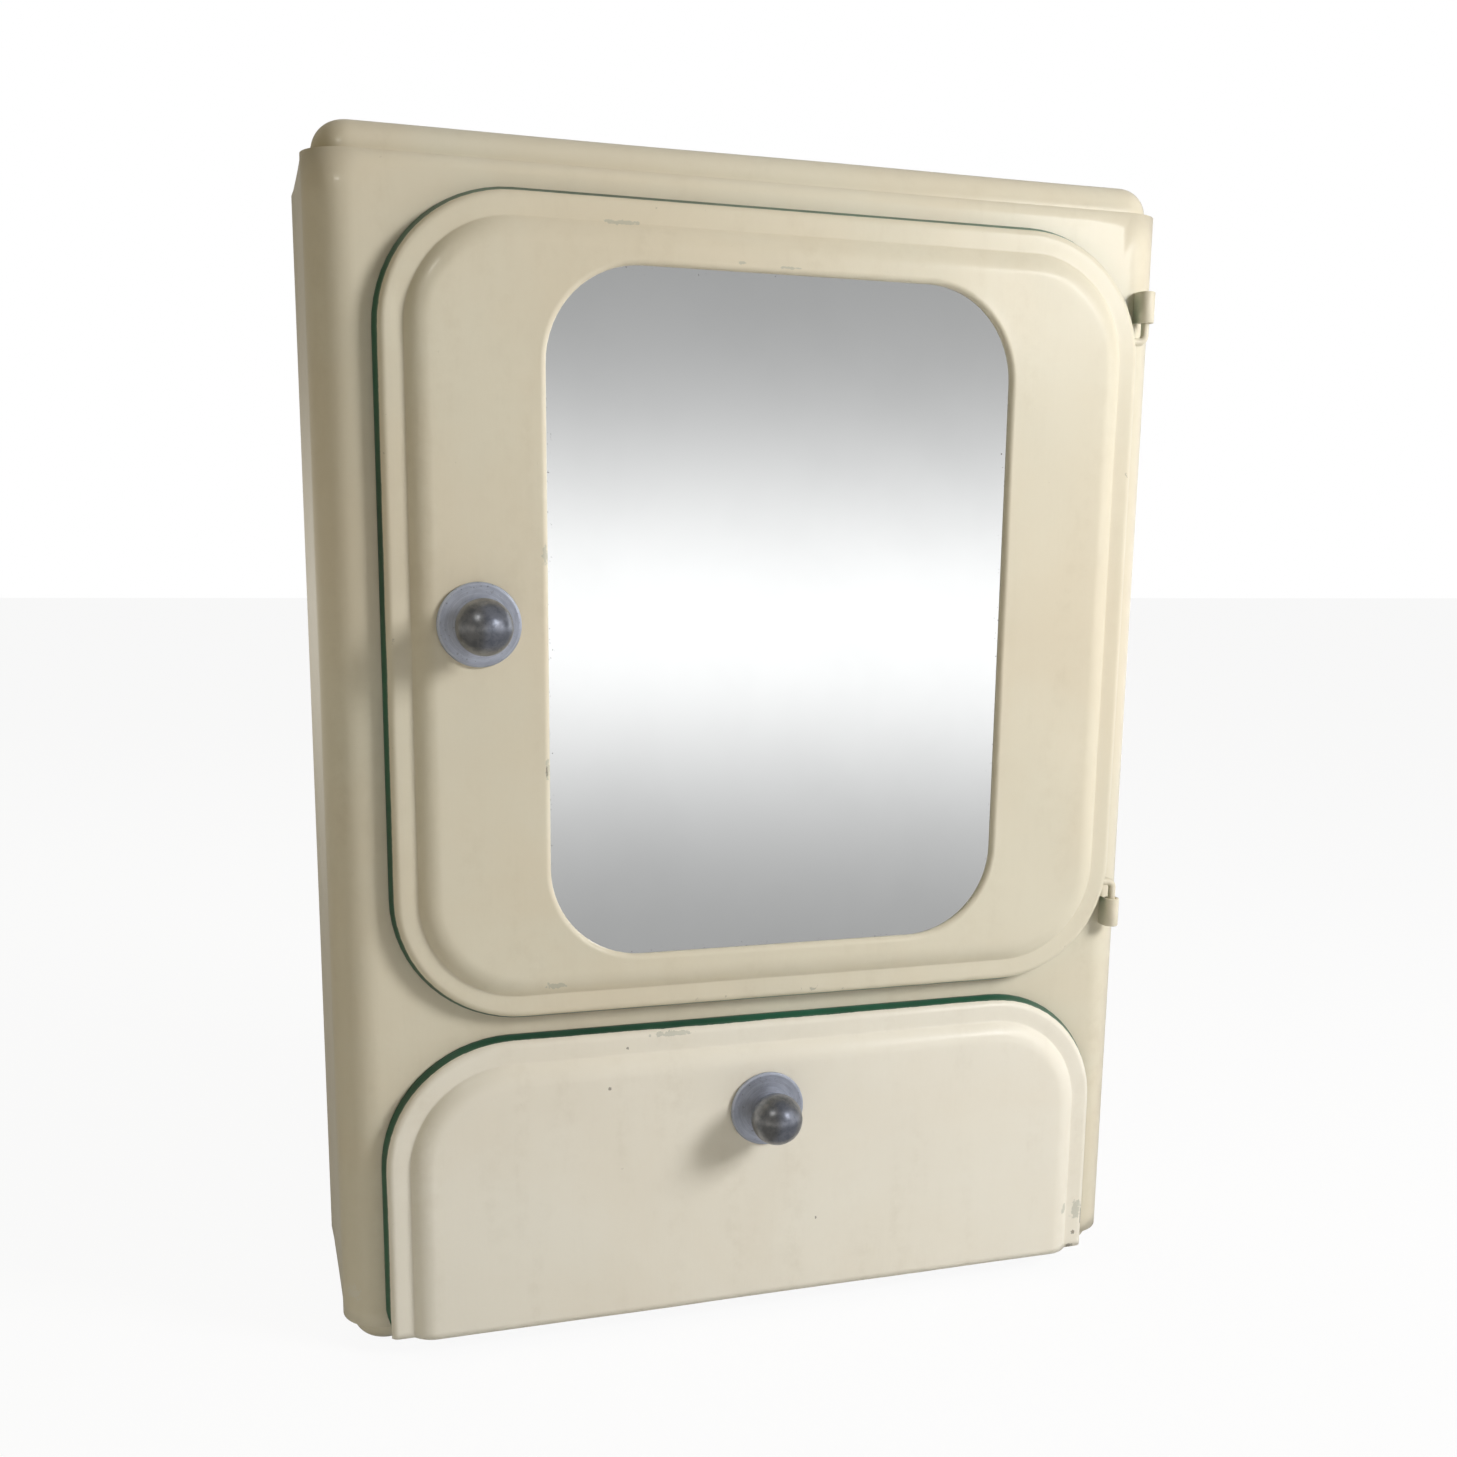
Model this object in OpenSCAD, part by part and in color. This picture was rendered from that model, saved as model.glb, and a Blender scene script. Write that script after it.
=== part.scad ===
// Wall-hung medicine cabinet in pressed sheet steel: one sheet wrapped into front and sides,
// rounded caps at top and foot, a right-hung mirror door and a tilting flap with a bin behind it.
// Origin: centre of the four wall-screw holes, on the back plane. +X right, +Y into the wall, +Z up.

/* [Cabinet] */
// Width of the wrapped shell
body_w = 360; // [310:1:440]
// Height of the wrapped shell, without the caps
body_h = 468; // [420:1:570]
// Depth from the wall to the front panel
body_d = 110; // [100:1:150]
// Outside radius of the shell's front corners
corner_r = 18; // [12:1:24]
// Thickness of every steel sheet
sheet = 1; // [0.8:0.1:1.2]
// Width of the flange turned in at the back of each side
return_w = 14; // [10:1:20]

/* [Caps] */
// How far the caps stand in from the shell's outside
cap_inset = 4; // [3:0.5:6]
// Edge radius of the top cap
cap_r = 12; // [8:1:12]
// Edge radius of the base cap
base_r = 10; // [6:1:12]
// Depth of the caps' flanges inside the shell
cap_flange = 3.6; // [3:0.2:4]

/* [Door] */
// Width of the door
door_w = 321; // [270:1:340]
// Height of the door
door_h = 324; // [290:1:400]
// How far the door's centre lies to the right of the cabinet's centre
door_shift = 4.7; // [3:0.1:6]
// Distance from the shell's top edge down to the door's top edge
door_drop = 11; // [8:1:30]
// Radius of the door's corners
door_r = 52; // [44:1:58]
// How far the door covers the front panel round its opening
overlay = 14; // [13:0.5:18]

/* [Pressing] */
// Height of the outer rim above the front panel
stand = 7.2; // [6.8:0.1:9]
// Gap behind the door and flap
face_gap = 0.5; // [0.4:0.1:0.8]
// How far the turned edge leans out at its back
flare = 1.5; // [0:0.1:1.6]
// Radius where the turned edge meets the rim
rim_r = 3.2; // [2:0.1:4]
// Distance from the outer edge to the crease
rim_w = 9.6; // [8:0.2:12]
// Height of the raised field above the rim
raise = 4.5; // [4:0.1:6]
// Distance over which the shoulder rises
shoulder = 9.4; // [7:0.2:11]

/* [Mirror] */
// Width of the mirror opening
mirror_w = 196; // [150:1:220]
// Height of the mirror opening
mirror_h = 274; // [220:1:280]
// Corner radius of the mirror opening
mirror_r = 38; // [25:1:45]
// Radius of the lip rolled round the opening
lip_r = 2.6; // [2.2:0.1:3]
// Thickness of the mirror glass
glass_t = 3; // [2.5:0.1:3.2]
// Thickness of the backing board
board_t = 2; // [1.5:0.1:2.2]
// How far the glass runs behind the lip on each side
glass_lap = 5; // [3:0.5:5.5]

/* [Flap and bin] */
// Width of the flap
flap_w = 324; // [280:1:340]
// Height of the flap
flap_h = 126; // [115:1:135]
// How far the flap hangs below the shell's bottom edge
flap_hang = 3; // [1:0.5:3]
// Height of the tilting axis above the shell's bottom edge
pivot_up = 6; // [6:0.5:8]
// Distance of the tilting axis in front of the front panel
pivot_out = 3.5; // [3.3:0.1:4]
// Width of the bin, outside
bin_w = 260; // [200:1:262]
// Radius of the bin's curved back about the tilting axis
bin_r = 84; // [60:1:86]
// Angle of the bin's back edge above the floor
bin_angle = 50; // [40:1:54]
// Clear width left between the bin and the sides of its opening
bin_play = 2; // [1.6:0.2:4]

/* [Hinges] */
// Diameter of the hinge barrels
barrel_d = 7.2; // [6.6:0.1:7.4]
// Length of the hinge barrels
barrel_l = 13; // [10:0.5:16]
// Diameter of the hinge pintles
pintle_d = 3.4; // [2.8:0.1:3.6]
// Distance of each hinge from the door's middle height
hinge_off = 134; // [120:1:134]
// Distance from the door's right edge to the hinge axis
hinge_out = 3.5; // [3.2:0.1:4.5]

/* [Knobs] */
// Diameter of the knob balls
knob_d = 22; // [18:1:26]
// Distance of the ball's centre in front of the raised field
knob_reach = 14; // [13:0.5:18]
// Diameter of the rosettes
rosette_d = 33; // [28:1:38]
// Distance of the door knob from the door's left edge
knob_in = 35; // [30:1:36]
// Distance of the flap knob below the flap's top edge
knob_down = 38; // [34:1:50]

/* [Shelves] */
// Thickness of the shelf brackets
bracket_t = 1.2; // [1:0.1:2]
// Gap between a shelf and the walls round it
shelf_gap = 3; // [2:0.5:5]
// Depth of the turned-down front edge of the shelves
shelf_lip = 10; // [6:1:14]

/* [Wall fixing] */
// Distance between the wall screws, across
screw_x = 260; // [200:5:280]
// Distance between the wall screws, up and down
screw_z = 340; // [250:5:400]
// Diameter of the wall-screw holes
screw_d = 5; // [4:0.5:6]

/* [Hidden] */
$fn = 64;
eps = 0.01;
big = 1000;
arc_n = 8;
front_y = -body_d;
shell_top = body_h / 2;
shell_foot = -body_h / 2;
inner_w = body_w - 2 * sheet;
cap_wall = 0.6;

// Door and its opening
door_z = shell_top - door_drop - door_h / 2;
door_x = door_shift;
door_right = door_x + door_w / 2;
face_v = stand + raise;
under_v = face_v - sheet;
flat_in = rim_w + shoulder;
plate_in = flat_in + 4;
hole_w = door_w - 2 * overlay;
hole_h = door_h - 2 * overlay;
hole_r = door_r - overlay;

// Mirror stack, measured forward from the front panel
glass_v = face_v - lip_r;
board_v = glass_v - glass_t;
glass_w = mirror_w + 2 * glass_lap;
glass_h = mirror_h + 2 * glass_lap;
glass_r = mirror_r - 6;

// Flap, bin and the tilting axis
flap_top = shell_foot - flap_hang + flap_h;
flap_foot = shell_foot - flap_hang;
pivot_y = front_y - pivot_out;
pivot_z = shell_foot + pivot_up;
sill_z = pivot_z - 2;
bin_hole_w = bin_w + 2 * bin_play;
bin_hole_top = flap_top - 14;
bin_hole_r = 24;
pin_d = 3;
pin_play = 0.05;
ear_t = 1.2;
ear_gap = 0.8;
ear_r = 3.2;
trim_up = flap_hang + pivot_up;
stop_w = 60;
stop_r = bin_hole_top - pivot_z + 4.5;
bin_back_r = min(bin_r, bin_hole_top - pivot_z - 12);
floor_up = 2.2;

// Hinge axis
hinge_x = door_right + hinge_out;
hinge_y = front_y - stand + sheet + 0.1 + pintle_d / 2;
hinge_play = 0.05;
leaf_t = 1.2;
leaf_l = 16;
joggle = 0.8;
hook_drop = 8;
hook_r = 3;

// Fixed shelf between the compartments, and the loose shelves
divider_z = flap_top - 8;
divider_lip = 10;
room_h = shell_top - divider_z;
shelf_zs = [divider_z + room_h * 0.34, divider_z + room_h * 0.66];
bracket_l = 14;
bracket_leg = 10;

// Knobs
neck_r = 4.2;
stud_r = 2;
stud_play = 0.1;
stud_l = 8;
nut_t = 3.2;
nut_af = 7;
rosette_t = 2;

// Catch and buffers
catch_w = 16;
catch_down = 50;
catch_gap = 0.9;
catch_x = door_x - hole_w / 2 + 3.4;
blade_t = 1.2;
buffer_r = 2.8;
buffer_stem = 1.6;
buffer_in = 6.5;
clip_w = 12;
clip_t = 0.8;
clip_gap = 0.3;

ivory = [0.85, 0.82, 0.73];
green = [0.10, 0.24, 0.17];
aluminium = [0.62, 0.63, 0.66];
steel = [0.55, 0.55, 0.57];
rubber = [0.12, 0.12, 0.12];

// Points on an arc from angle a0 to a1
function arc(cx, cy, r, a0, a1, n = arc_n) =
  [for (i = [0:n]) [cx + r * cos(a0 + (a1 - a0) * i / n), cy + r * sin(a0 + (a1 - a0) * i / n)]];

// Section of the pressing from its turned edge to the raised field: [distance in from the edge, height]
shoulder_r = (shoulder * shoulder + raise * raise) / (2 * raise);
shoulder_v = face_v - shoulder_r;
function shoulder_start(r, v) = 180 - asin((v - shoulder_v) / r);
edge_section = concat(
  [[-flare, face_gap]],
  arc(rim_r, stand - rim_r, rim_r, 180, 90),
  arc(flat_in, shoulder_v, shoulder_r, shoulder_start(shoulder_r, stand), 90),
  [[plate_in + 1, face_v], [plate_in + 1, under_v]],
  arc(flat_in, shoulder_v, shoulder_r - sheet, 90, shoulder_start(shoulder_r - sheet, stand - sheet)),
  arc(rim_r, stand - rim_r, rim_r - sheet, 90, 180),
  [[sheet - flare, face_gap]]);

// Section of the lip rolled round the mirror opening, with the opening's edge at 0
lip_section = concat(
  [[-lip_r - 2, under_v], [-lip_r - 2, face_v]],
  arc(-lip_r, face_v - lip_r, lip_r, 90, 0),
  arc(-lip_r, face_v - lip_r, lip_r - sheet, 0, 90));

// Section of a cap's outer edge: solid from its wall to a ring inside the flat of its top
function cap_section(r, inner) = concat(
  [[inner, 0], [0, 0], [0, cap_wall]],
  arc(r, cap_wall, r, 180, 90),
  [[inner, r + cap_wall]]);

// A rounded rectangle about the origin
module rounded(w, h, r) {
  square([w - 2 * r, h], center = true);
  square([w, h - 2 * r], center = true);
  for (sx = [-1, 1], sy = [-1, 1])
    translate([sx * (w / 2 - r), sy * (h / 2 - r)]) circle(r);
}

// Carries a section round a rounded rectangle
module frame_sweep(w, h, r, section) {
  for (q = [0:3])
    translate([(q == 0 || q == 3 ? 1 : -1) * (w / 2 - r), (q < 2 ? 1 : -1) * (h / 2 - r), 0])
      rotate([0, 0, 90 * q])
        rotate_extrude(angle = 90)
          polygon([for (p = section) [r - p[0], p[1]]]);
  for (turn = [0, 180]) {
    rotate([0, 0, turn])
      translate([w / 2, h / 2 - r, 0])
        rotate([90, 0, 0])
          linear_extrude(h - 2 * r)
            polygon([for (p = section) [-p[0], p[1]]]);
    rotate([0, 0, turn])
      translate([-(w / 2 - r), h / 2, 0])
        rotate([90, 0, 90])
          linear_extrude(w - 2 * r)
            polygon([for (p = section) [-p[0], p[1]]]);
  }
}

// Turns a drawing in the plane of the front panel to face the room
module on_front(x, z, v = 0) {
  translate([x, front_y - v, z]) rotate([90, 0, 0]) children();
}

// Plan of the shell's outside, set in by a distance
module shell_plan(inset, back) {
  r = corner_r - inset;
  half = body_w / 2 - inset;
  translate([-half, front_y + corner_r]) square([2 * half, -back - front_y - corner_r]);
  translate([corner_r - body_w / 2, front_y + inset]) square([body_w - 2 * corner_r, corner_r]);
  for (s = [-1, 1])
    translate([s * (body_w / 2 - corner_r), front_y + corner_r]) circle(r);
}

// The opening that the bin swings through
module bin_hole() {
  h = bin_hole_top - sill_z;
  translate([0, sill_z + h / 2]) rounded(bin_hole_w, h, bin_hole_r);
  translate([-bin_hole_w / 2, sill_z]) square([bin_hole_w, h / 2]);
}

module at_hinges() {
  translate([0, 0, door_z + hinge_off]) children();
}

module mirrored_hinge() {
  translate([0, 0, 2 * door_z]) mirror([0, 0, 1]) children();
}

module leaf_slot() {
  translate([hinge_x - barrel_d / 2 - 0.1, front_y - 1, -barrel_l / 2 - 0.1])
    cube([leaf_t + 0.2, 4, barrel_l + 0.2]);
}

module buffer_holes(xs, zs) {
  for (x = xs, z = zs)
    on_front(x, z, -4) cylinder(r = buffer_stem, h = 8);
}

door_buffer_x = door_x - door_w / 2 + buffer_in;
door_buffer_zs = [door_z - 95, door_z + 95];
flap_buffer_z = flap_top - door_r - 8;
flap_buffer_xs = [buffer_in - flap_w / 2, flap_w / 2 - buffer_in];

module cabinet_shell() {
  color(ivory)
    difference() {
      translate([0, 0, shell_foot])
        linear_extrude(body_h)
          difference() {
            shell_plan(0, sheet);
            shell_plan(sheet, 2 * sheet);
            translate([return_w - body_w / 2, -4 * sheet])
              square([body_w - 2 * return_w, 4 * sheet]);
          }
      on_front(door_x, door_z, -5) linear_extrude(10) rounded(hole_w, hole_h, hole_r);
      on_front(0, 0, -5) linear_extrude(10) bin_hole();
      at_hinges() leaf_slot();
      mirrored_hinge() at_hinges() leaf_slot();
      buffer_holes([door_buffer_x], door_buffer_zs);
      buffer_holes(flap_buffer_xs, [flap_buffer_z]);
    }
}

// A pillow-shaped solid, pointing up, whose back is cut at the back panel
module cap_solid(inset, r, back) {
  depth = body_d - back - inset;
  w = body_w - 2 * inset;
  plan_r = corner_r - inset;
  core_in = (r + plan_r) / 2;
  translate([0, -back, 0])
    intersection() {
      union() {
        frame_sweep(w, 2 * depth, plan_r, cap_section(r, (core_in + plan_r) / 2));
        linear_extrude(r + cap_wall) rounded(w - 2 * core_in, 2 * (depth - core_in), plan_r - core_in);
      }
      translate([-big / 2, -big, -1]) cube([big, big, big]);
    }
}

// A cap drawn pointing up from the shell's edge at height 0
module cap(r) {
  edge_r = min(r, corner_r - cap_inset - 1.6);
  difference() {
    union() {
      cap_solid(cap_inset, edge_r, sheet);
      translate([0, 0, -sheet]) linear_extrude(sheet) shell_plan(sheet, 2 * sheet);
      translate([0, 0, -cap_flange])
        linear_extrude(cap_flange)
          difference() {
            shell_plan(sheet, 2 * sheet);
            shell_plan(2 * sheet, sheet);
          }
    }
    translate([0, -3 * sheet, -sheet - 1])
      linear_extrude(sheet + 1 + cap_wall)
        square([body_w - 2 * (corner_r + sheet), 2 * (body_d - corner_r - 3 * sheet)], center = true);
    cap_solid(cap_inset + sheet, edge_r - sheet, 2.6 * sheet);
  }
}

module top_cap() {
  color(ivory) translate([0, 0, shell_top]) cap(cap_r);
}

module base_cap() {
  color(ivory) translate([0, 0, shell_foot]) mirror([0, 0, 1]) cap(base_r);
}

module back_panel() {
  color(ivory)
    difference() {
      translate([0, -sheet / 2, 0]) cube([body_w - 2, sheet, body_h - 2], center = true);
      for (sx = [-1, 1], sz = [-1, 1])
        translate([sx * screw_x / 2, 1, sz * screw_z / 2])
          rotate([90, 0, 0]) cylinder(d = screw_d, h = 2 + sheet);
    }
}

module divider_shelf() {
  color(green)
    translate([0, 0, divider_z]) {
      linear_extrude(sheet) shell_plan(sheet, 2 * sheet);
      linear_extrude(divider_lip)
        difference() {
          shell_plan(sheet, 2 * sheet);
          shell_plan(2 * sheet, sheet);
        }
    }
}

shelf_front = front_y + sheet + 8;
shelf_back = -2 * sheet - shelf_gap;
shelf_w = inner_w - 2 * shelf_gap;

module shelf(z) {
  translate([-shelf_w / 2, shelf_front, z]) {
    cube([shelf_w, shelf_back - shelf_front, sheet]);
    translate([0, 0, sheet - shelf_lip]) cube([shelf_w, sheet, shelf_lip]);
  }
}

module shelf_lower() {
  color(green) shelf(shelf_zs[0]);
}

module shelf_upper() {
  color(green) shelf(shelf_zs[1]);
}

module shelf_brackets() {
  color(green)
    for (z = shelf_zs, s = [0, 1], y = [shelf_front + 14, shelf_back - 8 - bracket_l])
      mirror([s, 0, 0])
        translate([inner_w / 2 - bracket_leg, y, z - bracket_t]) {
          cube([bracket_leg, bracket_l, bracket_t]);
          translate([bracket_leg - bracket_t, 0, bracket_t - bracket_leg])
            cube([bracket_t, bracket_l, bracket_leg]);
        }
}

// Barrel with its leaf, which passes through the slot and lies behind the front panel
module hinge_barrel() {
  leaf_x = hinge_x - barrel_d / 2;
  leaf_y = front_y + sheet;
  bend_x = min(body_w / 2 - corner_r, leaf_x - 3);
  translate([0, 0, -barrel_l / 2]) {
    difference() {
      union() {
        translate([hinge_x, hinge_y, 0]) cylinder(d = barrel_d, h = barrel_l);
        linear_extrude(barrel_l)
          polygon([[leaf_x, hinge_y], [leaf_x + leaf_t, hinge_y], [leaf_x + leaf_t, leaf_y + joggle + leaf_t],
            [bend_x, leaf_y + joggle + leaf_t], [bend_x - 1.6, leaf_y + leaf_t], [leaf_x - leaf_l, leaf_y + leaf_t],
            [leaf_x - leaf_l, leaf_y], [bend_x - 1.2, leaf_y], [bend_x + 0.4, leaf_y + joggle],
            [leaf_x, leaf_y + joggle]]);
      }
      translate([hinge_x, hinge_y, -1]) cylinder(r = pintle_d / 2 + hinge_play, h = barrel_l + 2);
    }
  }
}

module hinge_barrel_upper() {
  color(ivory) at_hinges() hinge_barrel();
}

module hinge_barrel_lower() {
  color(ivory) mirrored_hinge() at_hinges() hinge_barrel();
}

// Bent rod: up into the barrel, round a hook, and in to a pad behind the door's rim
module hinge_pintle() {
  r = pintle_d / 2;
  foot = -barrel_l / 2 - hook_drop;
  pad_x = door_right - 10.6;
  translate([hinge_x, hinge_y, foot + hook_r]) cylinder(r = r, h = hook_drop + barrel_l - hook_r - 2);
  translate([hinge_x - hook_r, hinge_y, foot + hook_r])
    rotate([90, 90, 0]) rotate_extrude(angle = 90) translate([hook_r, 0]) circle(r);
  translate([pad_x, hinge_y, foot]) rotate([0, 90, 0]) cylinder(r = r, h = hinge_x - hook_r - pad_x);
  translate([pad_x, front_y - stand + sheet, foot - r]) cube([6, 1.4, 2 * r]);
}

module hinge_pintle_upper() {
  color(ivory) at_hinges() hinge_pintle();
}

module hinge_pintle_lower() {
  color(ivory) mirrored_hinge() at_hinges() hinge_pintle();
}

module pintle_hole() {
  translate([door_right - rim_w, hinge_y, -barrel_l / 2 - hook_drop])
    rotate([0, 90, 0]) cylinder(r = pintle_d / 2 + hinge_play, h = 2 * rim_w);
}

// Plate with a rolled opening or plain, whose edge runs into the shoulder
module field_plate(w, h, r) {
  translate([0, 0, under_v])
    linear_extrude(sheet)
      difference() {
        rounded(w - 2 * plate_in, h - 2 * plate_in, r - plate_in);
        children();
      }
}

module door_panel() {
  color(ivory)
    difference() {
      on_front(door_x, door_z) {
        frame_sweep(door_w, door_h, door_r, edge_section);
        difference() {
          field_plate(door_w, door_h, door_r)
            rounded(mirror_w + 2 * lip_r + 2, mirror_h + 2 * lip_r + 2, mirror_r + lip_r + 1);
          knob_hole(knob_in - door_w / 2, 0);
        }
        frame_sweep(mirror_w, mirror_h, mirror_r, lip_section);
      }
      at_hinges() pintle_hole();
      mirrored_hinge() at_hinges() pintle_hole();
    }
}

module knob_hole(x, y) {
  translate([x, y, 0]) cylinder(r = stud_r + stud_play, h = 2 * stand + raise);
}

module mirror_glass() {
  color([0.75, 0.78, 0.80])
    on_front(door_x, door_z, board_v) linear_extrude(glass_t) rounded(glass_w, glass_h, glass_r);
}

module mirror_board() {
  color([0.45, 0.36, 0.26])
    on_front(door_x, door_z, board_v - board_t) linear_extrude(board_t) rounded(glass_w, glass_h, glass_r);
}

// Bent tabs welded behind the raised field that hold the board and the glass
module mirror_clips() {
  rise = under_v - board_v + board_t + clip_t;
  color(steel)
    on_front(door_x, door_z)
      for (s = [0, 1], y = [-90, 0, 90])
        mirror([s, 0, 0])
          translate([glass_w / 2 + clip_gap, y - clip_w / 2, under_v - rise]) {
            cube([clip_t, clip_w, rise]);
            translate([0, 0, rise - clip_t]) cube([10, clip_w, clip_t]);
            translate([-8, 0, 0]) cube([8 + clip_t, clip_w, clip_t]);
          }
}

// Blade that stands back from the door into its catch
module door_strike() {
  color(steel)
    translate([catch_x, front_y - under_v, door_z - catch_down - catch_w / 2]) {
      translate([0, 0.2, 0]) cube([blade_t, under_v + 11.8, catch_w]);
      translate([0, 0.2, 0]) cube([12, 1.2, catch_w]);
      translate([2, 0, 0]) cube([10, 0.6, catch_w]);
    }
}

// Leaf spring behind the front panel with a rounded bead beside the blade
module door_catch() {
  bead_r = 2;
  arm_x = catch_x - catch_gap - bead_r;
  color(steel)
    translate([0, 0, door_z - catch_down - catch_w / 2]) {
      translate([arm_x - 14, front_y + sheet, 0]) cube([14, clip_t, catch_w]);
      translate([arm_x - clip_t, front_y + sheet, 0]) cube([clip_t, 12, catch_w]);
      intersection() {
        translate([arm_x, front_y + sheet + 8, 0]) cylinder(r = bead_r, h = catch_w);
        translate([arm_x - clip_t, front_y, 0]) cube([10, 20, catch_w]);
      }
    }
}

module rubber_buffer(x, z) {
  head = stand - sheet - 0.3;
  on_front(x, z) cylinder(r = buffer_r, h = head);
  on_front(x, z, -sheet) cylinder(r = buffer_stem, h = sheet + eps);
  on_front(x, z, -sheet - 1.2) cylinder(r = buffer_r - 0.6, h = 1.2);
}

module door_buffers() {
  color(rubber) for (z = door_buffer_zs) rubber_buffer(door_buffer_x, z);
}

module flap_buffers() {
  color(rubber) for (x = flap_buffer_xs) rubber_buffer(x, flap_buffer_z);
}

// Ball on a short neck, with a threaded stud that passes through rosette and panel
module knob(x, z) {
  on_front(x, z, face_v) {
    translate([0, 0, knob_reach]) sphere(d = knob_d, $fn = 96);
    translate([0, 0, rosette_t]) cylinder(r = neck_r, h = knob_reach - rosette_t);
    translate([0, 0, -stud_l]) cylinder(r = stud_r, h = stud_l + rosette_t + 1);
  }
}

// Thin dished disc
module rosette(x, z) {
  r = rosette_d / 2;
  on_front(x, z, face_v)
    rotate_extrude($fn = 96)
      polygon([[stud_r + stud_play, 0], [r - 0.6, 0], [r, 0.3], [r - 0.5, 0.9], [r - 3, 1.1],
        [neck_r + 2, rosette_t], [stud_r + stud_play, rosette_t]]);
}

module knob_nut(x, z) {
  on_front(x, z, under_v - nut_t)
    difference() {
      cylinder(d = nut_af / cos(30), h = nut_t, $fn = 6);
      translate([0, 0, -1]) cylinder(r = stud_r + stud_play, h = nut_t + 2);
    }
}

door_knob_x = door_x - door_w / 2 + knob_in;
flap_knob_z = flap_top - knob_down;

module door_knob() {
  color(aluminium) knob(door_knob_x, door_z);
}

module door_rosette() {
  color(aluminium) rosette(door_knob_x, door_z);
}

module door_knob_nut() {
  color(steel) knob_nut(door_knob_x, door_z);
}

module flap_knob() {
  color(aluminium) knob(0, flap_knob_z);
}

module flap_rosette() {
  color(aluminium) rosette(0, flap_knob_z);
}

module flap_knob_nut() {
  color(steel) knob_nut(0, flap_knob_z);
}

// Pressed like the door's upper half, cut level at the foot, with its turned sides trimmed to swing
module flap_panel() {
  color(ivory)
    difference() {
      on_front(0, flap_foot) {
        frame_sweep(flap_w, 2 * flap_h, door_r, edge_section);
        difference() {
          field_plate(flap_w, 2 * flap_h, door_r);
          knob_hole(0, flap_h - knob_down);
        }
      }
      translate([-big / 2, -big / 2, flap_foot - big]) cube([big, big, big]);
      translate([-big / 2, front_y, flap_foot])
        rotate([90, 0, 90])
          linear_extrude(big)
            polygon([[2, -1], [2, trim_up], [-face_gap, trim_up], [2 - stand, trim_up - 4], [2 - stand, -1]]);
    }
}

// Sector about the tilting axis, drawn with the back to the right and the height upwards
module bin_sector(r) {
  front = under_v - pivot_out;
  edge = [bin_back_r * cos(bin_angle), bin_back_r * sin(bin_angle)];
  intersection() {
    union() {
      circle(r, $fn = 160);
      translate([-front, 0]) square([front, bin_back_r]);
    }
    polygon([[-front, floor_up], [bin_back_r + 1, floor_up], [bin_back_r * 1.2, edge[1]], edge, [-front, bin_back_r - 8]]);
  }
}

module bin_end() {
  translate([bin_w / 2 - sheet, pivot_y, pivot_z])
    rotate([90, 0, 90])
      linear_extrude(sheet)
        difference() {
          union() {
            bin_sector(bin_back_r);
            circle(ear_r);
          }
          circle(d = pin_d);
        }
}

module bin_end_right() {
  color(green) bin_end();
}

module bin_end_left() {
  color(green) mirror([1, 0, 0]) bin_end();
}

// Floor and curved back in one sheet, with the stop turned up from its back edge
module bin_tray() {
  w = bin_w - 2 * sheet;
  front = under_v - pivot_out;
  color(green)
    translate([0, pivot_y, pivot_z]) {
      translate([-w / 2, 0, 0])
        rotate([90, 0, 90])
          linear_extrude(w) {
            intersection() {
              translate([-front, floor_up]) square([bin_back_r + front, sheet]);
              union() {
                circle(bin_back_r, $fn = 160);
                translate([-front, 0]) square([front, bin_back_r]);
              }
            }
            difference() {
              intersection() {
                circle(bin_back_r, $fn = 160);
                polygon([[0, floor_up], [bin_back_r + 10, floor_up], [bin_back_r * 1.5, bin_back_r * 1.5 * tan(bin_angle)]]);
              }
              circle(bin_back_r - sheet, $fn = 160);
            }
          }
      translate([-stop_w / 2, 0, 0])
        rotate([90, 0, 90])
          linear_extrude(stop_w)
            rotate(bin_angle - 1.2) translate([bin_back_r - sheet, 0]) square([stop_r - bin_back_r + sheet, 1.4]);
    }
}

// Plate on the front panel with an ear that carries the tilting pin
module pivot_bracket() {
  ear_x = bin_w / 2 + ear_gap;
  difference() {
    union() {
      translate([ear_x, front_y - bracket_t, pivot_z - 4]) cube([17, bracket_t, 26]);
      translate([ear_x, pivot_y, pivot_z]) rotate([0, 90, 0]) cylinder(r = ear_r, h = ear_t);
      translate([ear_x, pivot_y, pivot_z - ear_r]) cube([ear_t, pivot_out, 2 * ear_r]);
    }
    translate([ear_x - 1, pivot_y, pivot_z]) rotate([0, 90, 0]) cylinder(r = pin_d / 2 + pin_play, h = 4);
  }
}

module pivot_bracket_right() {
  color(steel) pivot_bracket();
}

module pivot_bracket_left() {
  color(steel) mirror([1, 0, 0]) pivot_bracket();
}

module pivot_pin() {
  head_r = 2;
  translate([bin_w / 2 - sheet, pivot_y, pivot_z])
    rotate([0, 90, 0]) {
      cylinder(d = pin_d, h = sheet + ear_gap + ear_t + 0.3);
      translate([0, 0, -1.2]) cylinder(r = head_r, h = 1.2);
      translate([0, 0, sheet + ear_gap + ear_t + 0.3]) cylinder(r = head_r, h = 1);
    }
}

module pivot_pin_right() {
  color(steel) pivot_pin();
}

module pivot_pin_left() {
  color(steel) mirror([1, 0, 0]) pivot_pin();
}

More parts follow.
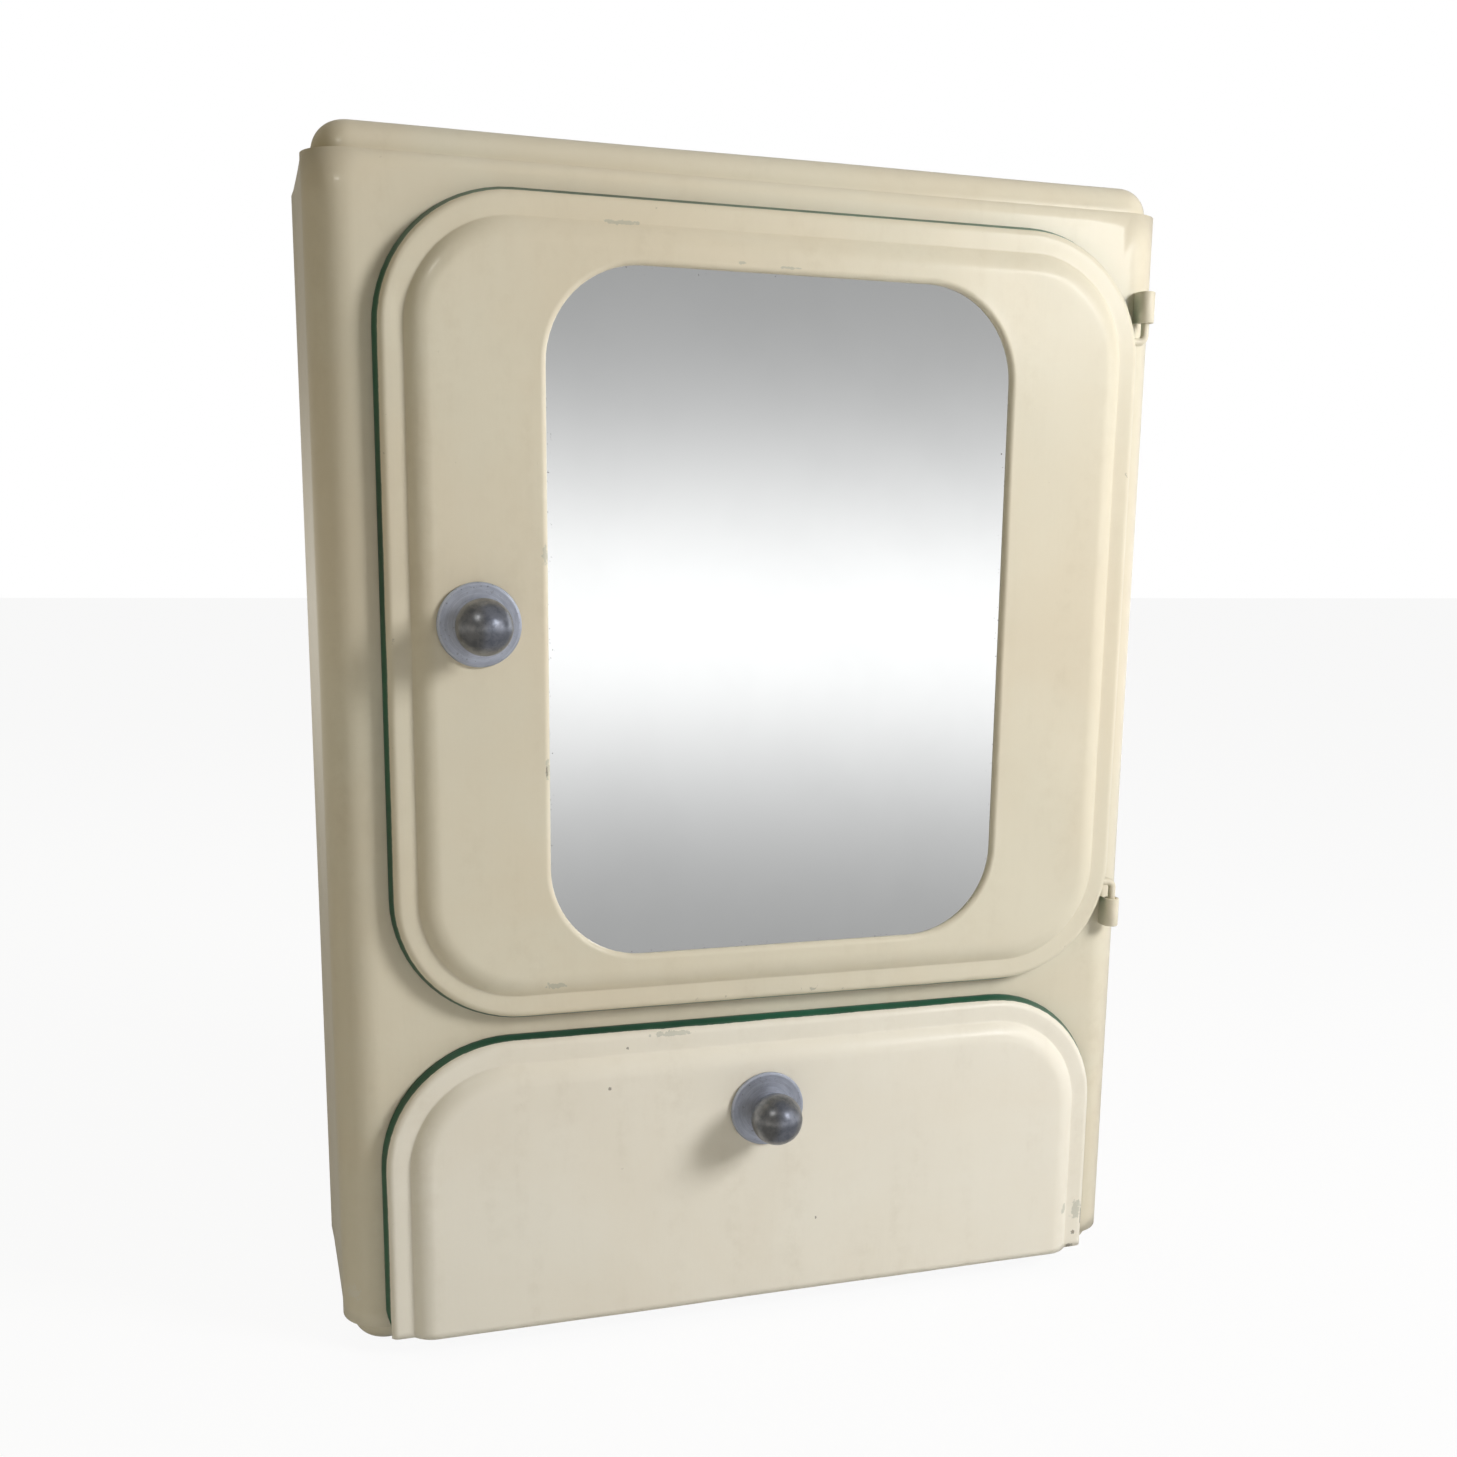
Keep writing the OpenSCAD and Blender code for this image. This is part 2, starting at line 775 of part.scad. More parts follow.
cabinet_shell();
top_cap();
base_cap();
back_panel();
divider_shelf();
shelf_lower();
shelf_upper();
shelf_brackets();
hinge_barrel_upper();
hinge_barrel_lower();
door_catch();
door_buffers();
flap_buffers();
pivot_bracket_left();
pivot_bracket_right();
door_panel();
mirror_glass();
mirror_board();
mirror_clips();
hinge_pintle_upper();
hinge_pintle_lower();
door_strike();
door_knob();
door_rosette();
door_knob_nut();
flap_panel();
bin_tray();
bin_end_left();
bin_end_right();
pivot_pin_left();
pivot_pin_right();
flap_knob();
flap_rosette();
flap_knob_nut();
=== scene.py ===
"""Looks of a wall-hung bathroom cabinet pressed from sheet steel and brush-painted ivory over green.

Shapes are worked out in millimetres in the part's own frame: origin in the middle of the four wall
screws, +X right, +Y into the wall, +Z up. The front panel lies at the plane called FRONT.
"""

import math

import bmesh
import bpy
import numpy as np
from mathutils import Matrix, Vector


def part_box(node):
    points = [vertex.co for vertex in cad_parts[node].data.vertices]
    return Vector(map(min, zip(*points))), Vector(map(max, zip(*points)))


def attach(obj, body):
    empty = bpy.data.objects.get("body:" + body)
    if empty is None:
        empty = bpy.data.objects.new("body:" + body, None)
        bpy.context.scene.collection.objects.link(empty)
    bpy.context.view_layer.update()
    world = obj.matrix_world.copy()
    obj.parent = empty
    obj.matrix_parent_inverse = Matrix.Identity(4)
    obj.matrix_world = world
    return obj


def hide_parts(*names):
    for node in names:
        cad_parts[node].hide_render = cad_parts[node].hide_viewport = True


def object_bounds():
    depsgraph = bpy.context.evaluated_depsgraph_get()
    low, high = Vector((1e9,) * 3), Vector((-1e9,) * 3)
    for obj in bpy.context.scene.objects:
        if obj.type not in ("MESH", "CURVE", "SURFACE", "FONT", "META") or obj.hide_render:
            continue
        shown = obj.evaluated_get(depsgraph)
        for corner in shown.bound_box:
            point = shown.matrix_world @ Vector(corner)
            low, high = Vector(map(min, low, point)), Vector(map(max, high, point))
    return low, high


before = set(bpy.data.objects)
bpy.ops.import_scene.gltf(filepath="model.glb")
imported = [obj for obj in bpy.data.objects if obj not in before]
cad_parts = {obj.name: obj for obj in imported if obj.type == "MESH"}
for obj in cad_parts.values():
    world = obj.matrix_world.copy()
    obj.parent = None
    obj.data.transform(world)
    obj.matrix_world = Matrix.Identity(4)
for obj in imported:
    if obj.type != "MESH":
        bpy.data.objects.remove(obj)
cad_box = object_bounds()

MM = 0.001


def corners(node):
    """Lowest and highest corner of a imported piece, in millimetres."""
    low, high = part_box(node)
    return np.array(low) / MM, np.array(high) / MM


# ---------------------------------------------------------------- sizes that the pieces share
SHELL_LOW, SHELL_HIGH = corners("cabinet_shell")
DOOR_LOW, DOOR_HIGH = corners("door_panel")
FLAP_LOW, FLAP_HIGH = corners("flap_panel")
GLASS_LOW, GLASS_HIGH = corners("mirror_glass")
FRONT = SHELL_LOW[1]
SHEET = 1.0              # thickness of the steel
FLARE = 1.5              # how far a turned edge leans outwards
STAND = 7.2              # the rim's height over the front panel
RAISE = 4.5              # the field's height over the rim
FACE = STAND + RAISE
RIM_R = 3.2              # round between the turned edge and the rim
RIM_W = 9.6
SHOULDER = 9.4           # width of the slope between rim and field
LIP_R = 2.6              # roll of the mirror opening's edge
CORNER_R = 18.0          # bend of the shell's front corners
PRESS_R = 52.0           # corners of the door and the flap
MIRROR_R = 38.0          # corners of the mirror opening
FACE_GAP = 0.5           # from a turned edge to the front panel
GLASS_HIDDEN = 5.0       # glass behind the door on each side of its opening
HOLE_MARGIN = 14.0       # from the edge of door or flap to the opening behind it
PANEL_SPLIT = -106.0     # level at which the front panel's two halves meet
BIN_HOLE_W, BIN_HOLE_R = 264.0, 24.0
BARREL_R, LEAF_T = 3.6, 1.2
ROD_R, ROD_BEND = 1.7, 3.0
SCREW_X, SCREW_Z = 130.0, 170.0
WAVES, WAVE_ROOM = 0.16, 0.3                     # unevenness of the sheets, and room kept for it
FIELD_FOLD, FLAP_FOLD, LIP_FOLD = -30.0, -40.0, -60.0   # fold values far from any turned edge

BODY_W = SHELL_HIGH[0] - SHELL_LOW[0]
TOP, FOOT = SHELL_HIGH[2], SHELL_LOW[2]
DOOR_X, DOOR_Z = (DOOR_LOW[0] + DOOR_HIGH[0]) / 2, (DOOR_LOW[2] + DOOR_HIGH[2]) / 2
DOOR_W = DOOR_HIGH[0] - DOOR_LOW[0] - 2 * FLARE
DOOR_H = DOOR_HIGH[2] - DOOR_LOW[2] - 2 * FLARE
FLAP_W = FLAP_HIGH[0] - FLAP_LOW[0] - 2 * FLARE
FLAP_H = FLAP_HIGH[2] - FLARE - FLAP_LOW[2]
FLAP_FOOT = FLAP_LOW[2]
MIRROR_W = GLASS_HIGH[0] - GLASS_LOW[0] - 2 * GLASS_HIDDEN
MIRROR_H = GLASS_HIGH[2] - GLASS_LOW[2] - 2 * GLASS_HIDDEN

# dents: middle x and z, half sizes, depth
DOOR_DENTS = [(146.5, 4, 7, 9, 0.5), (-147, 178, 3.5, 9, 0.45), (-140, 196, 6, 3.4, 0.4),
              (-120, 1, 16, 22, 0.25)]
FLAP_DENTS = [(24, -204, 10, 7, 0.12), (120, -150, 30, 20, 0.2)]


# ---------------------------------------------------------------- surfaces
def quads(count_u, count_v, round_u=False, round_v=False):
    """Corner numbers of the cells of a grid of points, row after row."""
    number = np.arange(count_u * count_v).reshape(count_u, count_v)
    if round_u:
        number = np.vstack([number, number[:1]])
    if round_v:
        number = np.hstack([number, number[:, :1]])
    cells = [number[:-1, :-1], number[1:, :-1], number[1:, 1:], number[:-1, 1:]]
    return np.stack(cells, axis=-1).reshape(-1, 4)


class Skin:
    """Grids and flat faces gathered into one mesh, with each point's distance round the turned edge."""

    def __init__(self):
        self.points, self.faces, self.fold, self.count = [], [], [], 0

    def add(self, points, faces, fold=0.0):
        """points (n, 3) in millimetres; fold is how far a point lies round the turned edge."""
        points = np.asarray(points, float).reshape(-1, 3)
        self.points.append(points)
        self.faces.extend((np.asarray(face) + self.count).tolist() for face in faces)
        self.fold.append(np.broadcast_to(np.asarray(fold, float).reshape(-1), len(points)))
        self.count += len(points)
        return self

    def grid(self, points, round_u=False, round_v=False, fold=0.0):
        """Every cell of an array of points (nu, nv, 3)."""
        nu, nv = points.shape[:2]
        return self.add(points, quads(nu, nv, round_u, round_v), fold)

    def make(self, name, body, paints, slot, stands_for, sharp, weld=0.002):
        """The finished object: doubles welded, faces turned outwards, edges over `sharp` degrees
        kept crisp."""
        mesh = bpy.data.meshes.new(name)
        mesh.from_pydata((np.concatenate(self.points) * MM).tolist(), [], self.faces)
        kept = mesh.attributes.new("fold", "FLOAT", "POINT")
        kept.data.foreach_set("value", np.concatenate(self.fold).astype(np.float32))
        shape = bmesh.new()
        shape.from_mesh(mesh)
        bmesh.ops.remove_doubles(shape, verts=shape.verts, dist=weld * MM)
        bmesh.ops.dissolve_degenerate(shape, edges=shape.edges, dist=1e-7)
        bmesh.ops.recalc_face_normals(shape, faces=shape.faces)
        shape.to_mesh(mesh)
        shape.free()
        mesh.polygons.foreach_set("use_smooth", np.ones(len(mesh.polygons), bool))
        mesh.set_sharp_from_angle(angle=math.radians(sharp))
        thing = bpy.data.objects.new(name, mesh)
        bpy.context.scene.collection.objects.link(thing)
        for paint in paints:
            mesh.materials.append(paint)
        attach(thing, body)
        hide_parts(*stands_for)
        return thing


def arc(cx, cy, r, a0, a1, n):
    """Points on a circle about (cx, cy) from angle a0 to a1, in degrees."""
    a = np.radians(np.linspace(a0, a1, n + 1))
    return np.stack([cx + r * np.cos(a), cy + r * np.sin(a)], axis=1)


def eased(line, at, reach, n=6):
    """A polyline whose kink at point number `at` becomes a small curve:
    B(t) = (1-t)^2 A + 2t(1-t) K + t^2 C."""
    back = line[at] - line[at - 1]
    ahead = line[at + 1] - line[at]
    a = line[at] - back / np.linalg.norm(back) * reach
    c = line[at] + ahead / np.linalg.norm(ahead) * reach
    t = np.linspace(0, 1, n)[:, None]
    curve = (1 - t) ** 2 * a + 2 * t * (1 - t) * line[at] + t ** 2 * c
    return np.vstack([line[:at], curve, line[at + 1:]])


def rounded_outline(w, h, r, n_corner=16, n_long=44, n_wide=44):
    """Closed rounded rectangle, anticlockwise from the right side: quarter circles about the corner
    centres joined by straight runs. Gives the points and their outward directions."""
    across, up = w / 2 - r, h / 2 - r
    centres = [(across, up), (-across, up), (-across, -up), (across, -up)]
    points, out = [], []
    for q, centre in enumerate(centres):
        a = np.radians(np.linspace(90 * q, 90 * q + 90, n_corner + 1))
        ray = np.stack([np.cos(a), np.sin(a)], axis=1)
        points.append(np.array(centre) + r * ray)
        out.append(ray)
        straight = n_wide if q % 2 == 0 else n_long
        following = np.array(centres[(q + 1) % 4]) + r * ray[-1]
        t = np.linspace(0, 1, straight + 2)[1:-1, None]
        points.append(points[-1][-1] + t * (following - points[-1][-1]))
        out.append(np.repeat(ray[-1:], straight, axis=0))
    return np.vstack(points), np.vstack(out)


def pressed_section():
    """Section of the pressing from the back of its turned edge to the raised field:
    a leaning wall, a quarter round, a flat rim, a softened crease, and a shoulder that is part of a
    circle. Gives [distance in, height] and the distance round the fold, which is 0 at the rim's flat."""
    shoulder_r = (SHOULDER ** 2 + RAISE ** 2) / (2 * RAISE)
    flat_in = RIM_W + SHOULDER
    centre_v = FACE - shoulder_r
    start = 180 - math.degrees(math.asin((STAND - centre_v) / shoulder_r))
    wall = np.linspace([-FLARE, FACE_GAP], [0, STAND - RIM_R], 5)[:-1]
    edge = np.vstack([wall, arc(RIM_R, STAND - RIM_R, RIM_R, 180, 90, 10)])
    rim = np.linspace([RIM_R, STAND], [RIM_W, STAND], 4)[1:]
    rise = arc(flat_in, centre_v, shoulder_r, start, 90, 16)[1:]
    line = np.vstack([edge, rim, rise])
    line = eased(line, len(edge) + len(rim) - 1, 0.55)
    line = np.vstack([line, [[flat_in + 1.2, FACE]]])
    step = np.linalg.norm(np.diff(line, axis=0), axis=1)
    along = np.concatenate([[0], np.cumsum(step)])
    crown = along[len(edge) - 1]
    return line, crown - along


SECTION, SECTION_FOLD = pressed_section()


def hand_waves(x, z):
    """Gentle unevenness of thin sheet: a sum of four slow sine waves, in millimetres."""
    return WAVES * (
        np.sin(x / 31 + 0.7) * np.cos(z / 43 + 1.9)
        + 0.6 * np.sin(x / 17 - z / 23 + 0.4)
        + 0.4 * np.sin(z / 13 + x / 57)
        + 0.3 * np.cos(x / 9.5 + z / 11.7)
    )


def dimple(x, z, cx, cz, rx, rz, depth):
    """A shallow dent: depth * exp(-((x-cx)/rx)^2 - ((z-cz)/rz)^2)."""
    return -depth * np.exp(-(((x - cx) / rx) ** 2) - ((z - cz) / rz) ** 2)


def on_face(x, v, z):
    """Millimetre points whose height v is measured forwards from the front panel."""
    return np.stack(np.broadcast_arrays(x, FRONT - v, z), axis=-1)


def pressed_height(x, z, v, dents):
    """Height with sheet unevenness and dents added where the sheet stands off the front panel."""
    free = np.clip((v - FACE_GAP) / (STAND - FACE_GAP), 0, 1)
    extra = hand_waves(x, z)
    for dent in dents:
        extra = extra + dimple(x, z, *dent)
    return v + free * (extra - WAVE_ROOM)


def door_leaf():
    """The door: the pressed section carried round the outline, a field that runs straight from the
    shoulder to the mirror opening, and a quarter-round lip rolled into that opening."""
    outer, out = rounded_outline(DOOR_W, DOOR_H, PRESS_R)
    inner, inner_out = rounded_outline(MIRROR_W, MIRROR_H, MIRROR_R)
    edge = outer[:, None] - SECTION[:, 0][None, :, None] * out[:, None]
    lip = np.vstack([[[-LIP_R - 1.2, FACE]], arc(-LIP_R, FACE - LIP_R, LIP_R, 90, 0, 8)])
    roll = inner[:, None] - lip[:, 0][None, :, None] * inner_out[:, None]
    t = np.linspace(0, 1, 13)[1:-1][None, :, None]
    field = edge[:, -1:] * (1 - t) + roll[:, :1] * t
    flat = np.concatenate([edge, field, roll], axis=1)
    n_edge, n_field, n_roll = edge.shape[1], field.shape[1], roll.shape[1]
    v = np.concatenate([SECTION[:, 1], np.full(n_field, FACE), lip[:, 1]])
    v = np.broadcast_to(v, flat.shape[:2])
    fold = np.concatenate([SECTION_FOLD, np.full(n_field, FIELD_FOLD), np.full(n_roll, LIP_FOLD)])
    x, z = flat[..., 0] + DOOR_X, flat[..., 1] + DOOR_Z
    held = np.concatenate([np.ones(n_edge + n_field), np.linspace(1, 0, n_roll)])
    v = v + (pressed_height(x, z, v, DOOR_DENTS) - v) * held
    return Skin().grid(on_face(x, v, z), round_u=True, fold=np.broadcast_to(fold, x.shape))


def turned_part(start):
    """The turned edge and its round, from the height where it was trimmed to the flat of the rim.
    Gives distance in, height and fold, and how many points of the section they take up."""
    count = int(np.argmax(SECTION[:, 1] >= STAND - 1e-6)) + 1
    pick = np.arange(count)
    cut = np.interp(start, SECTION[:count, 1], pick)
    number = cut[:, None] + (count - 1 - cut)[:, None] * np.linspace(0, 1, count)
    lines = (SECTION[:count, 0], SECTION[:count, 1], SECTION_FOLD[:count])
    return [np.interp(number, pick, line) for line in lines], count


def flap_leaf():
    """The flap: the upper half of a pressed rounded rectangle, with its turned sides trimmed away at
    the foot, and a field of level rows that join the left arm to the right arm."""
    side_n, corner_n, wide_n = 26, 16, 44
    outer, out = rounded_outline(FLAP_W, 2 * FLAP_H, PRESS_R, corner_n, 2 * side_n + 1, wide_n)
    right_side = np.arange(len(outer) - side_n, len(outer))
    order = np.concatenate([right_side, np.arange(2 * (corner_n + 1) + wide_n + side_n)])
    outer, out = outer[order], out[order]
    outer = np.vstack([[[outer[0, 0], 0.0]], outer, [[outer[-1, 0], 0.0]]])
    out = np.vstack([out[:1], out, out[-1:]])
    trimmed = np.interp(outer[:, 1], [0, 5, 9, 9.05],
                        [STAND - 2.0, STAND - 2.0, FACE_GAP + 0.4, FACE_GAP])
    turned, count = turned_part(trimmed)
    inward, v, fold = (
        np.concatenate([part, np.broadcast_to(rest[count:], (len(outer), len(rest) - count))], axis=1)
        for part, rest in zip(turned, (SECTION[:, 0], SECTION[:, 1], SECTION_FOLD)))
    flat = outer[:, None] - inward[..., None] * out[:, None]
    arms = (len(outer) - wide_n - 2) // 2 + 1
    right, left = flat[:arms, -1], flat[::-1][:arms, -1]
    t = np.linspace(0, 1, wide_n + 2)[None, :, None]
    field = right[:, None] * (1 - t) + left[:, None] * t

    def place(flat, v):
        x, z = flat[..., 0], flat[..., 1] + FLAP_FOOT
        return on_face(x, pressed_height(x, z, v, FLAP_DENTS), z)

    skin = Skin().grid(place(flat, v), fold=fold)
    return skin.grid(place(field, np.full(field.shape[:2], FACE)), fold=FLAP_FOLD)


def hole_ring(hole_w, hole_h, hole_r, cx, cz, low, high, bend_x):
    """Front panel round one opening: straight lines from the rounded opening out to a rectangle,
    whose corners are met half-way round each rounded corner. Level edges are divided alike, so that
    two rings meet point to point."""
    n, straight, corner_cell = 8, 20, 14
    inner, _ = rounded_outline(hole_w, hole_h, hole_r, n, straight, straight)
    outer = inner + np.array([cx, cz])
    border = outer.copy()
    mid, per, reach = n // 2, n + 1 + straight, bend_x - corner_cell
    for q, (sx, sz) in enumerate([(1, 1), (-1, 1), (-1, -1), (1, -1)]):
        begin = q * per
        corner = np.array([sx * bend_x, high if sz > 0 else low])
        level = np.array([sx * reach, corner[1]])
        upright = np.array([corner[0], outer[begin if q % 2 == 0 else begin + n, 1]])
        a, b = (upright, level) if q % 2 == 0 else (level, upright)
        t = np.linspace(0, 1, mid + 1)[:, None]
        border[begin:begin + mid + 1] = a + t * (corner - a)
        border[begin + mid:begin + n + 1] = corner + t * (b - corner)
        run = slice(begin + n + 1, begin + per)
        if q % 2 == 0:
            border[run, 0] = np.linspace(sx * reach, -sx * reach, straight + 2)[1:-1]
            border[run, 1] = corner[1]
        else:
            border[run, 0] = corner[0]
    t = np.linspace(0, 1, 6)[None, :, None]
    return outer[:, None] * (1 - t) + border[:, None] * t


def shell_wrap():
    """The wrapped sheet: a front panel with two openings, a quarter cylinder at each front corner,
    flat sides, and a narrow flange bent in at the back. Levels up the sides match the front panel's
    own."""
    bend_x = BODY_W / 2 - CORNER_R
    bin_low, bin_high = FOOT + 4, FLAP_HIGH[2] - FLARE - HOLE_MARGIN
    rings = (
        hole_ring(DOOR_W - 2 * HOLE_MARGIN, DOOR_H - 2 * HOLE_MARGIN, PRESS_R - HOLE_MARGIN,
                  DOOR_X, DOOR_Z, PANEL_SPLIT, TOP, bend_x),
        hole_ring(BIN_HOLE_W, bin_high - bin_low, BIN_HOLE_R,
                  0, (bin_low + bin_high) / 2, FOOT, PANEL_SPLIT, bend_x),
    )
    skin = Skin()
    levels = []
    for ring in rings:
        skin.grid(on_face(ring[..., 0], 0.0, ring[..., 1]), round_u=True)
        outer = ring[:, -1]
        levels.append(outer[np.abs(outer[:, 0] - bend_x) < 1e-6, 1])
    levels = np.unique(np.round(np.concatenate(levels), 5))
    bend = arc(bend_x, FRONT + CORNER_R, CORNER_R, -90, 0, 14)
    side = np.linspace([BODY_W / 2, FRONT + CORNER_R], [BODY_W / 2, -3.0], 14)[1:]
    back = arc(BODY_W / 2 - 2, -3.0, 2.0, 0, 90, 5)[1:]
    flange = np.linspace([BODY_W / 2 - 2, -1.0], [BODY_W / 2 - 14, -1.0], 4)[1:]
    plan = np.vstack([bend, side, back, flange])
    for s in (1, -1):
        z = np.broadcast_to(levels, (len(plan), len(levels)))
        x = np.broadcast_to(s * plan[:, :1], z.shape)
        y = np.broadcast_to(plan[:, 1:], z.shape)
        flat_side = np.clip((y - FRONT - CORNER_R) / 12, 0, 1) * np.clip((-4 - y) / 12, 0, 1)
        bulge = flat_side * (0.18 * np.sin(z / 37 + s) + 0.12 * np.cos(z / 19 + y / 21) - WAVE_ROOM)
        if s < 0:
            free = np.clip((y - FRONT - 8) / 10, 0, 1)
            bulge = bulge + dimple(z, y, -222, -80, 5, 8, 0.5) * free
        skin.grid(np.stack([x + s * bulge, y, z], axis=-1))
    return skin


def cap_profile(r):
    """Closed section of a cap, [distance in from the shell's outside, height above its edge]: a
    flange inside the shell, a ledge, a small cove, a quarter circle of radius r up to the crown, and
    the same line 1 mm inside. Gives the section and how many points its outer line has."""
    inset, cove = 4.0, 0.7
    outer = np.vstack([
        [[1.02, -3.6], [1.02, -0.25]], arc(1.22, -0.25, 0.2, 180, 90, 3)[1:],
        [[2.0, -0.02], [2.9, -0.02]], arc(inset - cove, 0.68, cove, 270, 360, 6),
        arc(inset + r, cove, r, 180, 90, 22)[1:] - [0, 0.1], [[inset + r + 0.5, r + 0.6]]])
    inner = np.vstack([
        [[inset + r + 0.5, r - 0.4]], arc(inset + r, 0.6, r - 1, 90, 180, 8),
        [[inset + 1, 0.0], [17.0, 0.0], [17.0, -1.0], [2.0, -1.0], [2.0, -3.6]]])
    return np.vstack([outer, inner]), len(outer)


def cap_plan():
    """Outline of the shell seen from above, from the back of the right side round the front to the
    left. Gives points, outward directions, and how many points one arm has."""
    n_bend, n_front, n_side = 20, 50, 14
    half = BODY_W / 2
    centre = [half - CORNER_R, FRONT + CORNER_R]
    side = np.linspace([half, -1.0], [half, FRONT + CORNER_R], n_side + 1)[:-1]
    bend = arc(*centre, CORNER_R, 0, -90, n_bend)
    front = np.linspace([centre[0], FRONT], [-centre[0], FRONT], n_front + 2)[1:-1]
    points = np.vstack([side, bend, front, (bend * [-1, 1])[::-1], (side * [-1, 1])[::-1]])
    ray = (bend - centre) / CORNER_R
    out = np.vstack([np.repeat([[1.0, 0]], n_side, 0), ray, np.repeat([[0, -1.0]], n_front, 0),
                     (ray * [-1, 1])[::-1], np.repeat([[-1.0, 0]], n_side, 0)])
    return points, out, n_side + n_bend + 1


def cap(name, r, level, sign, node, paint):
    """A cap: its section carried round the plan, a crown of level rows joining left arm to right
    arm, a second crown 1 mm inside, and a back wall cut along the same section."""
    line, crown = cap_profile(r)
    plan, out, arm = cap_plan()
    flat = plan[:, None] - line[:, 0][None, :, None] * out[:, None]
    z = np.broadcast_to(line[:, 1], flat.shape[:2])
    count = len(plan)

    def place(flat, z):
        rise = np.clip(z / r, 0, 1)
        waves = 0.12 * np.sin(flat[..., 0] / 29 + 0.6) * rise - 0.12 * rise
        return np.stack([flat[..., 0], flat[..., 1], level + sign * (z + waves)], axis=-1)

    skin = Skin().grid(place(flat, z), round_v=True)
    for column in (crown - 1, crown):
        right, left = flat[:arm, column], flat[::-1][:arm, column]
        t = np.linspace(0, 1, count - 2 * arm + 2)[None, :, None]
        rows = right[:, None] * (1 - t) + left[:, None] * t
        skin.grid(place(rows, np.full(rows.shape[:2], line[column, 1])))
    ends = np.array([0, count - 1])
    for end in ends:
        rim = place(flat[end:end + 1], z[end:end + 1])[0]
        skin.add(rim, [list(range(len(rim)))])
    top = place(flat[ends][:, :crown], z[ends][:, :crown])
    rise = line[:crown, 1] >= 0.65
    loop = np.vstack([top[0][rise], top[1][rise][::-1]])
    n = len(loop)
    wall = np.vstack([loop, loop - [0, SHEET, 0]])
    strip = [[i, (i + 1) % n, n + (i + 1) % n, n + i] for i in range(n)]
    skin.add(wall, [list(range(n)), list(range(n, 2 * n))] + strip)
    return skin.make(name, "cabinet", [paint], "ivory_enamel", [node], sharp=32)


def turned_round(profile, x, z, count=96):
    """A lathe shape about the line through (x, z) that points out of the front panel:
    x + r cos a, z + r sin a, at height v, for each [r, v] of the profile."""
    a = np.linspace(0, 2 * np.pi, count, endpoint=False)[:, None]
    r, v = profile[:, 0][None, :], profile[:, 1][None, :]
    return on_face(x + r * np.cos(a), v, z + r * np.sin(a))


def knob_profile():
    """Ball of radius 11 on a waisted neck: the neck's radius is 4.2 and swells into the foot along a
    quarter curve."""
    ball_v, ball_r, neck, swell = FACE + 14.0, 11.0, 4.2, 1.2
    meet = math.degrees(math.asin(neck / ball_r))
    foot = arc(neck + swell, FACE + 2.0 + swell, swell, 270, 180, 6)
    ball = arc(0, ball_v, ball_r, 270 + meet + 4, 450, 60)
    start = np.array([[neck, ball_v - ball_r * math.cos(math.radians(meet)) - 1.4]])
    line = np.vstack([[[0, FACE + 1.0], [neck + swell, FACE + 1.0]], foot, start, ball])
    line[-1, 0] = 0.0
    return line


def rosette_profile():
    """Spun disc: a thin turned rim, a faint hollow ring, and a flat seat for the neck."""
    r = 16.5
    hollow = np.linspace([r - 1.1, FACE + 1.25], [7.0, FACE + 1.75], 22)
    hollow[:, 1] -= 0.28 * np.sin(np.linspace(0, np.pi, 22))
    return np.vstack([
        [[2.0, FACE + 0.02], [r - 0.5, FACE + 0.02]], arc(r - 0.45, FACE + 0.62, 0.45, 270, 450, 8),
        hollow, [[6.4, FACE + 2.0], [2.0, FACE + 2.0]]])


def knob(name, node, x, z, body, paint):
    skin = Skin().grid(turned_round(knob_profile(), x, z), round_u=True)
    return skin.make(name, body, [paint], "knob_aluminium", [node], sharp=50)


def rosette(name, node, x, z, body, paint):
    skin = Skin().grid(turned_round(rosette_profile(), x, z, 128), round_u=True, round_v=True)
    return skin.make(name, body, [paint], "rosette_aluminium", [node], sharp=30)


def sideways(line):
    """Directions at right angles to a line of points (n, 2), and the directions along it."""
    along = np.gradient(line, axis=0)
    along /= np.linalg.norm(along, axis=1)[:, None]
    return np.stack([-along[:, 1], along[:, 0]], axis=1), along


